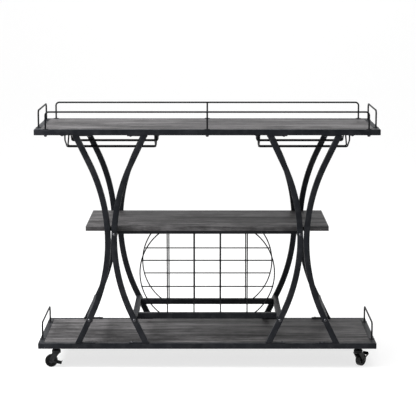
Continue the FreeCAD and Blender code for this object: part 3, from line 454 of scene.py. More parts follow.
def build_oak(tree, given, where):
    """Oak sawn along X: bands, long arches, fine fibres, short dark pores and dark blotches.

    The bands are noise drawn out twenty times along the grain; the arches are rings round
    a slowly wandering heart line; the pores are dashes kept from stretched noise.
    """
    def grain(scale, detail, rough=0.55):
        return noise(tree, stretched(tree, where, scale), 1.0, detail, rough)
    wander, bands = grain((1.3, 4.0, 4.0), 2.0), grain((1.1, 21.0, 30.0), 5.0, 0.6)
    streaks, fibres = grain((3.2, 95.0, 95.0), 4.0, 0.6), grain((11.0, 620.0, 620.0), 3.0, 0.6)
    rings = put(tree, "ShaderNodeTexWave", Vector=stretched(tree, where, (0.22, 1.0, 1.6)),
                bands_direction="Y", Scale=11.0, Distortion=9.0, Detail=3.0,
                Detail_Scale=1.4, Detail_Roughness=0.6).outputs["Fac"]
    arches = times(tree, ramp(tree, rings, (0.35, 0.0), (1.0, 1.0)),
                   ramp(tree, wander, (0.42, 0.0), (0.62, 1.0)))
    pores = times(tree, ramp(tree, grain((28.0, 780.0, 780.0), 1.0), (0.6, 0.0), (0.7, 1.0)),
                  ramp(tree, streaks, (0.35, 0.3), (0.65, 1.0)))
    tone = plus(tree, times(tree, bands, 0.5), times(tree, streaks, 0.5))
    blotches = ramp(tree, grain((5.0, 11.0, 11.0), 5.0, 0.65), (0.45, 0.0), (0.6, 1.0))
    return [tone, arches, fibres, pores, blotches]


def blank(name):
    """A new node material, its tree and its Principled shader."""
    material = bpy.data.materials.new(name)
    material.use_nodes = True
    return material, material.node_tree, material.node_tree.nodes["Principled BSDF"]


def place(tree, name, **values):
    """One of the node groups, with its own values."""
    return put(tree, "ShaderNodeGroup", node_tree=bpy.data.node_groups[name], **values).outputs


def bump(tree, height, depth):
    """A surface's normal under a relief of a depth in metres."""
    return put(tree, "ShaderNodeBump", Height=height, Distance=depth, Strength=1.0).outputs[0]


def powder_coat(name, dark, light, rough, wear, dust, peel):
    """Graphite powder coat: mottled colour, rubbed corners, dust on top, soft peel."""
    material, tree, shader = blank(name)
    coat = place(tree, "coat")
    worn = place(tree, "wear", Amount=wear)[0]
    dusty = place(tree, "dust", Amount=dust)[0]
    colour = layers(tree, dark, (ramp(tree, coat["Drift"], (0.35, 0.0), (0.65, 1.0)), light),
                    (times(tree, coat["Grain"], 0.25), tinted(1.7, light)),
                    (worn, (0.11, 0.11, 0.115)), (dusty, (0.26, 0.25, 0.24)))
    drift = ramp(tree, coat["Drift"], (0.3, rough - 0.05), (0.7, rough + 0.06))
    level = minus(tree, plus(tree, drift, times(tree, dusty, 0.25)), times(tree, worn, 0.12))
    feed(tree, shader, Base_Color=colour, Roughness=level, Normal=bump(tree, coat["Height"], peel),
         Metallic=times(tree, worn, 0.5), Specular_IOR_Level=0.1)
    return material


def grey_oak(name):
    """Weathered grey oak under matt lacquer, with open pores along the grain."""
    material, tree, shader = blank(name)
    oak = place(tree, "oak")
    worn = place(tree, "wear", Amount=0.5)[0]
    colour = layers(
        tree, WOOD_DARK, (ramp(tree, oak["Tone"], (0.42, 0.0), (0.58, 1.0)), WOOD_LIGHT),
        (times(tree, oak["Arches"], 0.6), WOOD_ARCH),
        (times(tree, oak["Blotches"], 0.7), WOOD_ARCH),
        (ramp(tree, oak["Fibres"], (0.35, 0.28), (0.65, 0.0)), WOOD_PORE),
        (times(tree, oak["Pores"], 0.75), WOOD_PORE), (worn, tinted(1.5, WOOD_LIGHT)))
    height = minus(tree, times(tree, oak["Fibres"], 0.35), oak["Pores"])
    rough = ramp(tree, oak["Tone"], (0.3, 0.62), (0.7, 0.5))
    feed(tree, shader, Base_Color=colour, Roughness=rough, Normal=bump(tree, height, 0.00018),
         Specular_IOR_Level=0.12)
    return material


def black_metal(name, base, rough, metallic):
    """Blackened steel: a fine mottle and rubbed corners."""
    material, tree, shader = blank(name)
    coat = place(tree, "coat")
    worn = place(tree, "wear", Amount=0.8)[0]
    colour = layers(tree, base, (coat["Drift"], tinted(1.8, base)), (worn, (0.1, 0.1, 0.105)))
    level = plus(tree, times(tree, coat["Height"], 0.12), rough)
    feed(tree, shader, Base_Color=colour, Roughness=level, Metallic=metallic,
         Normal=bump(tree, coat["Height"], 0.00003), Specular_IOR_Level=0.1)
    return material


def wheel_tread(name):
    """Hard glossy black tread, with a scuffed band where it meets the floor."""
    material, tree, shader = blank(name)
    coat = place(tree, "coat")
    scuffed = place(tree, "wear", Amount=0.9)[0]
    colour = layers(tree, (0.003, 0.003, 0.0032), (coat["Drift"], (0.006, 0.006, 0.0065)),
                    (scuffed, (0.03, 0.029, 0.028)))
    level = plus(tree, times(tree, scuffed, 0.35),
                 ramp(tree, coat["Drift"], (0.3, 0.16), (0.7, 0.26)))
    feed(tree, shader, Base_Color=colour, Roughness=level, Coat_Weight=0.12, Coat_Roughness=0.08,
         Specular_IOR_Level=0.1, Normal=bump(tree, coat["Height"], 0.000015))
    return material


def moulded(name):
    """Moulded black wheel centre with a fine sparked grain."""
    material, tree, shader = blank(name)
    coat = place(tree, "coat")
    dusty = place(tree, "dust", Amount=0.08)[0]
    colour = layers(tree, (0.005, 0.005, 0.0053), (coat["Grain"], (0.01, 0.01, 0.0105)),
                    (dusty, (0.2, 0.195, 0.19)))
    feed(tree, shader, Base_Color=colour, Normal=bump(tree, coat["Height"], 0.00006),
         Roughness=ramp(tree, coat["Drift"], (0.3, 0.3), (0.7, 0.42)), Specular_IOR_Level=0.15)
    return material


def plain_stage(name, colour):
    """Pale painted studio floor and wall with a very faint mottle."""
    material, tree, shader = blank(name)
    where = put(tree, "ShaderNodeTexCoord").outputs["Object"]
    tint = mix(tree, noise(tree, where, 1.5, 2.0), colour, tinted(0.985, colour))
    feed(tree, shader, Base_Color=tint, Roughness=0.7, Emission_Color=(1, 1, 1),
         Emission_Strength=0.72)
    return material


group("wear", [("Amount", 1.0)], ["Mask"], build_wear)
group("coat", [], ["Height", "Drift", "Grain"], build_coat)
group("dust", [("Amount", 1.0)], ["Mask"], build_dust)
group("oak", [], ["Tone", "Arches", "Fibres", "Pores", "Blotches"], build_oak)
WOOD_DARK, WOOD_LIGHT = (0.032, 0.031, 0.0325), (0.142, 0.136, 0.139)
WOOD_ARCH, WOOD_PORE = (0.021, 0.02, 0.0205), (0.01, 0.0095, 0.0095)
MATERIALS = {
    "steel": powder_coat("graphite_tube", (0.0055, 0.0065, 0.0085), (0.0095, 0.0105, 0.0135),
                         0.46, 0.25, 0.012, 0.00006),
    "wire": powder_coat("graphite_wire", (0.003, 0.0033, 0.0042), (0.005, 0.0055, 0.007),
                        0.5, 0.1, 0.004, 0.00004),
    "wood": grey_oak("grey_oak"),
    "bolts": black_metal("black_fasteners", (0.045, 0.045, 0.049), 0.24, 0.8),
    "castor_metal": black_metal("black_castor_steel", (0.0025, 0.0025, 0.003), 0.1, 0.0),
    "tread": wheel_tread("black_tread"),
    "hub": moulded("black_wheel_centre"),
}
SLOT_OF = {part["node"]: part["material_slot"] for part in frame["record"]["subparts"]}
for node, item in frame["nodes"].items():
    item.data.materials.clear()
    item.data.materials.append(MATERIALS[SLOT_OF[node]])


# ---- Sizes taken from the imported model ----

def span(node):
    lo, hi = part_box(node)
    return np.array(lo), np.array(hi)


TOP_LO, TOP_HI = span("top_frame")
DECK_LO, DECK_HI = span("bottom_frame")
TUBE = TOP_HI[2] - TOP_LO[2]
ROUND = 1.8 * MM                        # outer corner of the square tube
PAD = 3 * MM                            # bolting pad on a leg's end
LEAN = math.radians(25.5)               # slope of a leg's straight ends
BOLT_IN, PAD_TAIL = 47 * MM, 12 * MM    # bolt behind a leg's end, pad beyond the bolt
BOLT_HEAD, BOLT_RISE = 5.5 * MM, 3.3 * MM
EAR_OUT, EAR_IN, EAR_THICK, EAR_SCREW = 16 * MM, 4 * MM, 2 * MM, 10 * MM
STEM_RADIUS, PLATE_INBOARD, CASTOR_PLATE, WELD_IN = 4 * MM, 22 * MM, 4 * MM, 0.5 * MM
LUG, LUG_THICK, LUG_X = 25 * MM, 3 * MM, (-0.35, 0, 0.35)
RAIL_FOOT, RAIL_TAIL, RAIL_NUT = 10 * MM, 26 * MM, 6 * MM      # rail end, tail, nut above its tip
EAR_MIDDLE, PLATE_SCREW, SHELF_SCREW_Y = 6 * MM, 9 * MM, 60 * MM
HOOP_FOOT, HALF_POST, WIRE_BEND = 171 * MM, 39 * MM, 8 * MM
GLASS_RADIUS, GLASS_KNEE = 2.7 * MM, 38 * MM
CORNERS = [(x, y) for x in (-1, 1) for y in (-1, 1)]
FACES = {"front": -1, "rear": 1}
SIDES = {"left": -1, "right": 1}


def rect_path(lo, hi, axis, level, corner):
    """A rounded rectangle in the plane across an axis (0 X, 1 Y, 2 Z), and its corner mask."""
    u, v = [k for k in range(3) if k != axis]
    outline, mask = rounded_square((hi[u] - lo[u]) / 2, (hi[v] - lo[v]) / 2, corner)
    path = np.full((len(outline), 3), float(level))
    path[:, u] = outline[:, 0] + (lo[u] + hi[u]) / 2
    path[:, v] = outline[:, 1] + (lo[v] + hi[v]) / 2
    return path, mask


def bar(lo, hi, axis):
    """Square tube along an axis: its rounded outline swept from end to end."""
    ends = [rect_path(lo, hi, axis, level, ROUND) for level in (lo[axis], hi[axis])]
    return Shape().surface(np.array([path for path, _ in ends]), np.tile(ends[0][1], 2))


def tube_ring(lo, hi, steps=5):
    """Mitred rectangle of square tube.

    For an outline point (u, v), u outwards, corner (sx, sy) is an arc of radius
    rho = 0.5 mm + 2 mm (u + half) / tube about (sx (hx + u - rho), sy (hy + u - rho)).
    """
    half = TUBE / 2
    outline, mask = rounded_square(half, half, ROUND)
    u, v = outline[:, 0], outline[:, 1]
    rho = 0.5 * MM + 2.0 * MM * (u + half) / TUBE
    middle, reach = (lo + hi) / 2, (hi - lo) / 2 - half
    loops = []
    for k, (sx, sy) in enumerate([(1, 1), (-1, 1), (-1, -1), (1, -1)]):
        for angle in k * np.pi / 2 + np.linspace(0, np.pi / 2, steps):
            x = sx * (reach[0] + u - rho) + rho * math.cos(angle)
            y = sy * (reach[1] + u - rho) + rho * math.sin(angle)
            loops.append(np.column_stack([middle[0] + x, middle[1] + y, middle[2] + v]))
    return Shape().surface(np.array(loops), np.tile(mask, 4 * steps), closed=True)


# ---- Frames and boards ----

def lugs(shape, lo, under):
    """The lugs that carry a board: plates just under it, three along each side."""
    wall = -lo[1] - TUBE
    for x in LUG_X:
        for side in (-1, 1):
            shape.join(slab((x - LUG / 2, side * (wall - LUG), under - LUG_THICK),
                            (x + LUG / 2, side * (wall + WELD_IN), under), 0.4 * MM, 2.5 * MM))


def make_frames():
    for name, lo, hi, board in (("top_frame", TOP_LO, TOP_HI, "top_board"),
                                ("bottom_frame", DECK_LO, DECK_HI, "bottom_board")):
        shape = tube_ring(lo, hi)
        lugs(shape, lo, span(board)[0][2])
        if name == "bottom_frame":
            near = span("castor_stems")[1][:2] - STEM_RADIUS - PLATE_INBOARD
            far = hi[:2] - TUBE + WELD_IN
            for sx, sy in CORNERS:
                shape.join(slab((sx * near[0], sy * near[1], lo[2]),
                                (sx * far[0], sy * far[1], lo[2] + CASTOR_PLATE),
                                0.5 * MM, 3 * MM))
        make(name + "_tube", shape, "steel", name)


def make_boards():
    for name in ("top_board", "bottom_board", "middle_board"):
        lo, hi = span(name)
        make(name + "_plank", slab(lo, hi, 0.7 * MM, 1.5 * MM), "wood", name)


# ---- Legs ----

def pair_middle(face, side):
    boxes = [span("%s_%s_%s_leg" % (face, side, kind)) for kind in ("outer", "inner")]
    return sum(lo[0] + hi[0] for lo, hi in boxes) / 4


def leg_curve(hand, waist, spread, half):
    """Centre line of a leg about its pair's middle: points (x, z) and their slopes.

    An arc of radius R about (hand (waist + R), 0) from -lean to lean, then straight tangents
    to offset spread at half height, so R = (half tan l - spread + waist) /
    (sin l tan l - 1 + cos l).
    """
    radius = (half * math.tan(LEAN) - spread + waist) / (
        math.sin(LEAN) * math.tan(LEAN) - 1 + math.cos(LEAN))
    t = np.linspace(-LEAN, LEAN, 33)
    x = hand * (waist + radius * (1 - np.cos(t)))
    z = radius * np.sin(t)
    return np.vstack([(hand * spread, -half, -LEAN), np.column_stack([x, z, t]),
                      (hand * spread, half, LEAN)])


def make_leg(face, side, kind):
    """Square tube swept along the leg's curve; its ends are cut level and welded to pads."""
    name = "%s_%s_%s_leg" % (face, side, kind)
    lo, hi = span(name)
    hand = SIDES[side] * (1 if kind == "outer" else -1)
    middle = pair_middle(face, side)
    near, far = sorted(abs(edge - middle) for edge in (lo[0], hi[0]))
    waist, spread = near + TUBE / 2, far - TUBE / 2 / math.cos(LEAN)
    half = (hi[2] - lo[2]) / 2 - PAD
    y, z_mid = (lo[1] + hi[1]) / 2, (lo[2] + hi[2]) / 2
    curve = leg_curve(hand, waist, spread, half)
    outline, mask = rounded_square(TUBE / 2, TUBE / 2, ROUND)
    loops = []
    for x, z, t in curve:
        tangent = np.array([hand * math.sin(t), 0, math.cos(t)])
        normal = np.array([math.cos(t), 0, -hand * math.sin(t)])
        loop = np.array([middle + x, y, z_mid + z]) + outline[:, :1] * normal
        loop[:, 1] += outline[:, 1]
        if abs(abs(z) - half) < 1e-9:
            loop -= tangent * ((loop[:, 2:] - z_mid - z) / tangent[2])
        loops.append(loop)
    shape = Shape().surface(np.array(loops), np.tile(mask, len(loops)))
    for sign, loop in ((-1, loops[0]), (1, loops[-1])):
        tail = spread - BOLT_IN - PAD_TAIL
        shape.join(slab((middle + hand * far, lo[1], z_mid + sign * half),
                        (middle + hand * tail, hi[1], z_mid + sign * (half + PAD)),
                        0.5 * MM, 2.5 * MM))
        shape.join(bead(resample(loop - [0, 0, sign * 0.4 * MM], 64), 1.0 * MM))
    make(name + "_tube", shape, "steel", name)


def make_legs():
    for face in FACES:
        for side in SIDES:
            for kind in ("outer", "inner"):
                make_leg(face, side, kind)


# ---- Cross frames ----

def make_ladder(name):
    """Two bars between the legs and two cross bars, welded where they meet."""
    lo, hi = span(name)
    shape = Shape()
    cross = span("front_grid_uprights")
    at = abs(cross[0][1] + cross[1][1]) / 2
    for side, x0, x1 in ((-1, lo[0], lo[0] + TUBE), (1, hi[0] - TUBE, hi[0])):
        shape.join(bar((x0, lo[1], lo[2]), (x1, hi[1], hi[2]), 1))
        inner = x1 if side < 0 else x0
        for row in (-1, 1):
            weld, _ = rect_path((inner, row * at - TUBE / 2, lo[2]),
                                (inner, row * at + TUBE / 2, hi[2]), 0,
                                inner - side * 0.3 * MM, 2 * MM)
            shape.join(bead(resample(weld, 56), 1.1 * MM))
    for row in (-1, 1):
        shape.join(bar((lo[0] + TUBE, row * at - TUBE / 2, lo[2]),
                       (hi[0] - TUBE, row * at + TUBE / 2, hi[2]), 0))
    make(name + "_tubes", shape, "steel", name)


def make_bars():
    make_ladder("shelf_frame")
    make_ladder("rack_frame")
    for side in SIDES:
        lo, hi = span(side + "_stretcher")
        make(side + "_stretcher_tube", bar(lo, hi, 1), "steel", side + "_stretcher")


# ---- Wine grids ----

def blob(at, radius, sides=10):
    """A small spot weld: a flattened ball, z = 0.7 r sin t."""
    t = np.linspace(-np.pi / 2, np.pi / 2, 7)[1:-1]
    profile = np.column_stack([radius * np.cos(t), 0.7 * radius * np.sin(t)])
    return Shape().surface(turned(profile, sides) + np.asarray(at))


def collar(at, radius, sides=14):
    """A fillet weld round the foot of a wire."""
    path = np.column_stack([ring(radius, sides), np.zeros(sides)]) + np.asarray(at)
    return bead(path, 0.7 * MM, sides=6)


def make_grid(face):
    up_lo, up_hi = span(face + "_grid_uprights")
    wire_r = (up_hi[1] - up_lo[1]) / 2
    y, z0, z1 = (up_lo[1] + up_hi[1]) / 2, up_lo[2], up_hi[2]
    outer = up_hi[0] - wire_r
    uprights = Shape()
    xs = np.linspace(-outer, outer, 4)
    for x in xs:
        uprights.join(wire(np.array([(x, y, z) for z in (z0, (z0 + z1) / 2, z1)]), wire_r, 12))
        for z in (z0, z1):
            uprights.join(collar((x, y, z), wire_r + 0.3 * MM))
    make(face + "_grid_upright_wires", uprights, "wire", face + "_grid_uprights")
    cr_lo, cr_hi = span(face + "_grid_crosswires")
    cross_y, x_end = (cr_lo[1] + cr_hi[1]) / 2, cr_hi[0]
    levels = (cr_lo[2] + wire_r, cr_hi[2] - wire_r)
    crosswires = Shape()
    for z in levels:
        crosswires.join(wire(np.array([(x, cross_y, z) for x in (-x_end, 0, x_end)]), wire_r, 12))
        for x in list(xs) + [-x_end + wire_r, x_end - wire_r]:
            crosswires.join(blob((x, (y + cross_y) / 2, z), 1.5 * MM))
    make(face + "_grid_cross_wires", crosswires, "wire", face + "_grid_crosswires")
    make_hoops(face, y, z0, z1, wire_r)


def make_hoops(face, y, z0, z1, wire_r):
    """Side hoops: arcs from bar to bar, (cx + R cos t, y, zm + R sin t)."""
    reach, rise = span(face + "_grid_hoops")[1][0] - wire_r, (z1 - z0) / 2
    bulge = reach - HOOP_FOOT
    radius = (rise ** 2 + bulge ** 2) / (2 * bulge)
    centre = reach - radius
    limit = math.asin(rise / radius)
    t = np.linspace(-limit, limit, 41)
    shape = Shape()
    for side in (-1, 1):
        path = np.column_stack([side * (centre + radius * np.cos(t)), np.full(41, y),
                                (z0 + z1) / 2 + radius * np.sin(t)])
        shape.join(wire(path, wire_r, 12, soft=False))
        for z in (z0, z1):
            shape.join(collar((side * HOOP_FOOT, y, z), wire_r + 0.4 * MM))
    make(face + "_grid_hoop_wires", shape, "wire", face + "_grid_hoops")


# ---- Guard rails ----

def rosette(at):
    """A turned foot plate: flat disc with a rounded rim and a small fillet to the wire."""
    profile = eased([(2.9 * MM, 0), (9.9 * MM, 0), (9.9 * MM, 1.4 * MM), (4.4 * MM, 1.5 * MM),
                     (2.9 * MM, 3.0 * MM)], 0.55 * MM)
    return Shape().join(lathe(profile, 32, 0.3), shift=at)


def rail_middle(name, axis):
    """Half the way between a rail's end posts, and where the rail lies across them."""
    lo, hi = span(name)
    return hi[axis] - RAIL_FOOT, (lo[1 - axis] + hi[1 - axis]) / 2


def make_rail(name, axis, posts):
    """A bent wire from post to post; the tails go down through the frame into nuts."""
    lo, hi = span(name)
    radius = 3 * MM
    half, across = rail_middle(name, axis)
    def at(along, z):
        return (along, across, z) if axis == 0 else (across, along, z)
    top = hi[2] - radius
    path = bend_path([at(-half, lo[2]), at(-half, top), at(half, top), at(half, lo[2])], 12 * MM, 9)
    shape = wire(path, radius, 18)
    deck = lo[2] + RAIL_TAIL
    for k in posts:
        shape.join(rosette(at(k * half, deck)))
        if k == 0:
            shape.join(wire(np.array([at(0, z) for z in (lo[2], deck, top - radius * 0.2)]),
                            radius, 18))
            shape.join(collar(at(0, top - radius), radius * 0.9))
    make(name + "_wire", shape, "wire", name)


RAILS = [("top_%s_rail" % face, 0, (-1, 0, 1)) for face in FACES]
RAILS += [("%s_%s_rail" % (tier, side), 1, (-1, 1)) for tier in ("top", "bottom") for side in SIDES]


def make_rails():
    for rail in RAILS:
        make_rail(*rail)


# ---- Hanging glass rails ----

def pan_screw(at, sides=24):
    """A pan head that hangs below z = 0, with a cross sunk in it.

    The cross's outline is r = a max(0.3, |cos 2t|^3) and it goes 0.9 mm deep.
    """
    t = turns(sides)
    cross = 2.2 * MM * np.maximum(0.3, np.abs(np.cos(2 * t)) ** 3)
    rows = [(3.9 * MM, 0), (4.0 * MM, -0.7), (3.4 * MM, -1.9), (2.5 * MM, -2.35),
            (cross, -2.38), (cross * 0.7, -1.5)]
    grid = np.array([level_loop(radius, t, z * MM) for radius, z in rows])
    return Shape().join(Shape().surface(grid, np.repeat([0, .5, .6, .2, 1, 0], sides)), shift=at)


def ear(x, y, top, half_width, side):
    """The flat ear that reaches outwards from a wire's end."""
    return slab((x - side * EAR_IN, y - half_width, top - EAR_THICK),
                (x + side * EAR_OUT, y + half_width, top), 0.4 * MM, 3.5 * MM)


def glass_levels():
    """Heights of the glass wires: run, knee, and the undersides they hang from."""
    run = span("left_glass_front_wire")[0][2] + GLASS_RADIUS
    return run, TOP_HI[2] - GLASS_KNEE, TOP_LO[2], span("top_board")[0][2]


def make_side_wire(name, row):
    """A bent wire near one edge: flat ear, post, slope to the knee, long run, and back."""
    lo, hi = span(name)
    run_z, knee, under, _ = glass_levels()
    x0, x1 = lo[0] + EAR_OUT, hi[0] - EAR_OUT
    far_y = row * (max(abs(lo[1]), abs(hi[1])) - EAR_MIDDLE)
    run_y = row * (min(abs(lo[1]), abs(hi[1])) + GLASS_RADIUS)
    corners = [(x0, far_y, under - EAR_THICK), (x0, far_y, knee), (x0, run_y, run_z),
               (x1, run_y, run_z), (x1, far_y, knee), (x1, far_y, under - EAR_THICK)]
    shape = wire(bend_path(corners, WIRE_BEND), GLASS_RADIUS, 16, soft=False)
    for x, side in ((x0, -1), (x1, 1)):
        shape.join(ear(x, far_y, under, EAR_MIDDLE, side))
        shape.join(collar((x, far_y, under - EAR_THICK), GLASS_RADIUS + 0.4 * MM))
    make(name + "_bent", shape, "wire", name)


def make_middle_loop(name):
    """A closed wire between two plates: half of it is laid out, the rest is its mirror."""
    lo, hi = span(name)
    run_z, knee, _, under = glass_levels()
    x0, x1 = lo[0] + EAR_OUT, hi[0] - EAR_OUT
    run_y, top = hi[1] - GLASS_RADIUS, under - EAR_THICK - GLASS_RADIUS
    half = [(x0, 0, top), (x0, HALF_POST, top), (x0, HALF_POST, knee), (x0, run_y, run_z),
            (x1, run_y, run_z), (x1, HALF_POST, knee), (x1, HALF_POST, top), (x1, 0, top)]
    other = [(x, -y, z) for x, y, z in reversed(half[1:-1])]
    path = np.vstack([bend_path(run, WIRE_BEND)[:-1]
                      for run in (half, [half[-1]] + other + [half[0]])])
    shape = wire(path, GLASS_RADIUS, 16, closed=True)
    for x, side in ((x0, -1), (x1, 1)):
        shape.join(ear(x, 0, under, 15 * MM, side))
    make(name + "_bent", shape, "wire", name)


def make_glass_rails():
    for side in SIDES:
        for face, row in FACES.items():
            make_side_wire("%s_glass_%s_wire" % (side, face), row)
        make_middle_loop(side + "_glass_middle_loop")


# ---- Fasteners ----

def make_leg_bolts():
    shape, head = Shape(), socket_bolt(BOLT_HEAD, BOLT_RISE)
    y = TOP_HI[1] - TUBE / 2
    for side in SIDES:
        middle = pair_middle("front", side)
        lo, hi = span("front_%s_outer_leg" % side)
        spread = max(abs(lo[0] - middle), abs(hi[0] - middle)) - TUBE / 2 / math.cos(LEAN)
        for hand in (-1, 1):
            x = middle + hand * (spread - BOLT_IN)
            for row in (-1, 1):
                shape.join(head, turn_to((0, 0, -1)), (x, row * y, TOP_LO[2] - PAD))
                shape.join(head, spin_z(20 * hand), (x, row * y, DECK_HI[2] + PAD))
    make("leg_bolt_heads", shape, "bolts", "leg_bolts")


def make_frame_bolts():
    shape, head = Shape(), socket_bolt(BOLT_HEAD, BOLT_RISE)
    for name in ("shelf_frame", "rack_frame", "right_stretcher"):
        lo, hi = span(name)
        x, z = hi[0] - TUBE / 2, (lo[2] + hi[2]) / 2
        for side, row in CORNERS:
            shape.join(head, turn_to((0, row, 0)), (side * x, row * TOP_HI[1], z))
    make("frame_bolt_heads", shape, "bolts", "frame_bolts")


def make_rail_nuts():
    shape, places = Shape(), []
    for name, axis, posts in RAILS:
        half, across = rail_middle(name, axis)
        under = span(name)[0][2] + RAIL_NUT
        places += [((k * half, across) if axis == 0 else (across, k * half), under) for k in posts]
    nut = hex_nut(10 * MM, -4.8 * MM, 0, 3.0 * MM, 36)
    for k, ((x, y), under) in enumerate(places):
        shape.join(nut, spin_z(17 * k), (x, y, under))
    make("rail_nut_set", shape, "bolts", "rail_nuts")


def make_screws():
    under_top, under_deck = span("top_board")[0][2], span("bottom_board")[0][2]
    shape = Shape()
    lug_y = TOP_HI[1] - TUBE - LUG / 2
    for x in LUG_X:
        for row in (-1, 1):
            for z in (under_top, under_deck):
                shape.join(pan_screw((x, row * lug_y, z - LUG_THICK)))
    lo, hi = span("shelf_frame")
    for side, row in CORNERS:
        shape.join(pan_screw((side * (hi[0] - TUBE / 2), row * SHELF_SCREW_Y, lo[2])))
    make("board_screw_heads", shape, "bolts", "board_screws")
    hung = Shape()
    for name in ("left_glass_front_wire", "right_glass_front_wire"):
        lo, hi = span(name)
        far_y = abs(lo[1]) - EAR_MIDDLE
        for x in (lo[0] + EAR_OUT - EAR_SCREW, hi[0] - EAR_OUT + EAR_SCREW):
            for row in (-1, 1):
                hung.join(pan_screw((x, row * far_y, TOP_LO[2] - EAR_THICK)))
                hung.join(pan_screw((x, row * PLATE_SCREW, under_top - EAR_THICK)))
    make("glass_rail_screw_heads", hung, "bolts", "glass_rail_screws")


# ---- Castors ----

def plate_of(outline, low, high, ease=0.5 * MM):
    """A plate in the XZ plane: a convex outline carried along Y, its rims drawn in."""
    outline = np.asarray(outline, float)
    middle = outline.mean(axis=0)
    reach = np.linalg.norm(outline - middle, axis=1)[:, None]
    inner = outline - (outline - middle) / reach * ease
    rows = [(inner, low), (outline, low + ease), (outline, high - ease), (inner, high)]
    grid = np.array([np.column_stack([o[:, 0], np.full(len(o), y), o[:, 1]]) for o, y in rows])
    return Shape().surface(grid, np.repeat([.5, 1, 1, .5], len(outline)))


def castor_places():
    """Each castor's stem (x, y) and the direction in degrees in which its wheel trails."""
    found = {}
    for joint in frame["record"]["behaviour"]["joints"]:
        if joint["name"].endswith("_swivel_turn"):
            name = joint["name"].replace("_swivel_turn", "")
            stem, wheel = np.array(joint["pos_m"])[:2], sum(span(name + "_hub")) / 2
            trail = wheel[:2] - stem
            found[name] = (stem, math.degrees(math.atan2(trail[1], trail[0])),
                           np.linalg.norm(trail), wheel[2])
    return found


def on_axle(shape, trail, axle_z):
    """A shape turned about +Z laid along the axle."""
    return Shape().join(shape, turn_to((0, 1, 0)), (trail, 0, axle_z))


def fork_shape(trail, axle_z):
    """A pressed fork: tapering cheeks with round feet, a bridge, and a turned head."""
    t = np.linspace(0, -np.pi, 13)
    foot = np.column_stack([trail + 8 * MM * np.cos(t), axle_z + 8 * MM * np.sin(t)])
    outline = resample(np.vstack([[(-12 * MM, 52 * MM), (15 * MM, 52 * MM)], foot]), 60)
    shape = Shape()
    for low, high in ((-13.5, -11.5), (11.5, 13.5)):
        shape.join(plate_of(outline, low * MM, high * MM))
    shape.join(slab((-12 * MM, -13.4 * MM, 50 * MM), (15 * MM, 13.4 * MM, 52.4 * MM), 0.8 * MM))
    profile = eased([(4.1, 50.1), (13.5, 50.1), (16, 52), (16, 56.2), (15.2, 56.8), (16, 57.4),
                     (16, 61), (11.2, 64.5), (4.1, 64.5)], 0.5)
    shape.join(lathe(np.array(profile) * MM, 40, 0.35))
    return shape


def wheel_shapes(trail, axle_z):
    """The tread ring with its crown and side grooves, and the ribbed centre."""
    side = [(17, 9), (18.2, 9), (18.6, 8.5), (19.2, 8.5), (19.6, 9), (20.6, 9), (22.1, 7.6)]
    crown = [(22.5, 4.5), (22.5, -4.5)]
    profile = eased(side + crown + [(r, -w) for r, w in reversed(side)], 0.28)
    profile = np.clip(profile, -22.5, 22.5) * MM
    wear = np.where(profile[:, 0] > 21.8 * MM, 1.0, 0.1)
    tread = on_axle(lathe(profile, 64, wear), trail, axle_z)
    centre = [(3.1, 9.9), (6, 9.9), (6.6, 3.2), (13.6, 2.5), (14.4, 7.9), (16.95, 7.9)]
    body = eased(centre + [(r, -w) for r, w in reversed(centre)], 0.35) * MM
    hub = lathe(body, 48, 0.2)
    for k in range(6):
        for low, high in ((2, 7.2), (-7.2, -2)):
            hub.join(slab((5.4 * MM, -1.1 * MM, low * MM), (14.9 * MM, 1.1 * MM, high * MM),
                          0.4 * MM), spin_z(60 * k))
    return tread, on_axle(hub, trail, axle_z)


def axle_shape(trail, axle_z):
    """A riveted pin with domed heads outside the cheeks."""
    half = [(3.0, 0), (3.0, 13.4), (5, 13.5), (5, 14.2), (4.2, 14.8), (2.4, 15.0), (0, 15.0)]
    profile = [(0, -15.0)] + [(r, -z) for r, z in reversed(half[1:-1])] + half
    return on_axle(lathe(np.array(profile) * MM, 28, 0.3), trail, axle_z)


def lever_shape():
    """A stirrup about the axle: two eyed arms, a ridged pedal and a raised lip."""
    t = np.linspace(np.pi / 2, 3 * np.pi / 2, 15)
    eye = np.column_stack([5 * np.cos(t), 5 * np.sin(t)])
    arm = [(14, -3.4), (33, -3), (37.6, -2.4), (38, 0.5), (37.6, 3), (14, 3.4)]
    outline = resample(np.vstack([eye, arm]), 54) * MM
    shape = Shape()
    for low, high in ((-11.25, -10.25), (10.25, 11.25)):
        shape.join(plate_of(outline, low * MM, high * MM, 0.3 * MM))
    shape.join(slab((27 * MM, -11.2 * MM, 1.0 * MM), (38 * MM, 11.2 * MM, 3 * MM), 0.5 * MM))
    shape.join(slab((36 * MM, -11.2 * MM, 1.5 * MM), (38 * MM, 11.2 * MM, 7 * MM), 0.7 * MM))
    for x in (28.6, 30.6, 32.6, 34.6):
        path = np.array([(x, y, 3.0) for y in (-9.5, 0, 9.5)]) * MM
        shape.join(wire(path, 0.55 * MM, 8))
    return shape


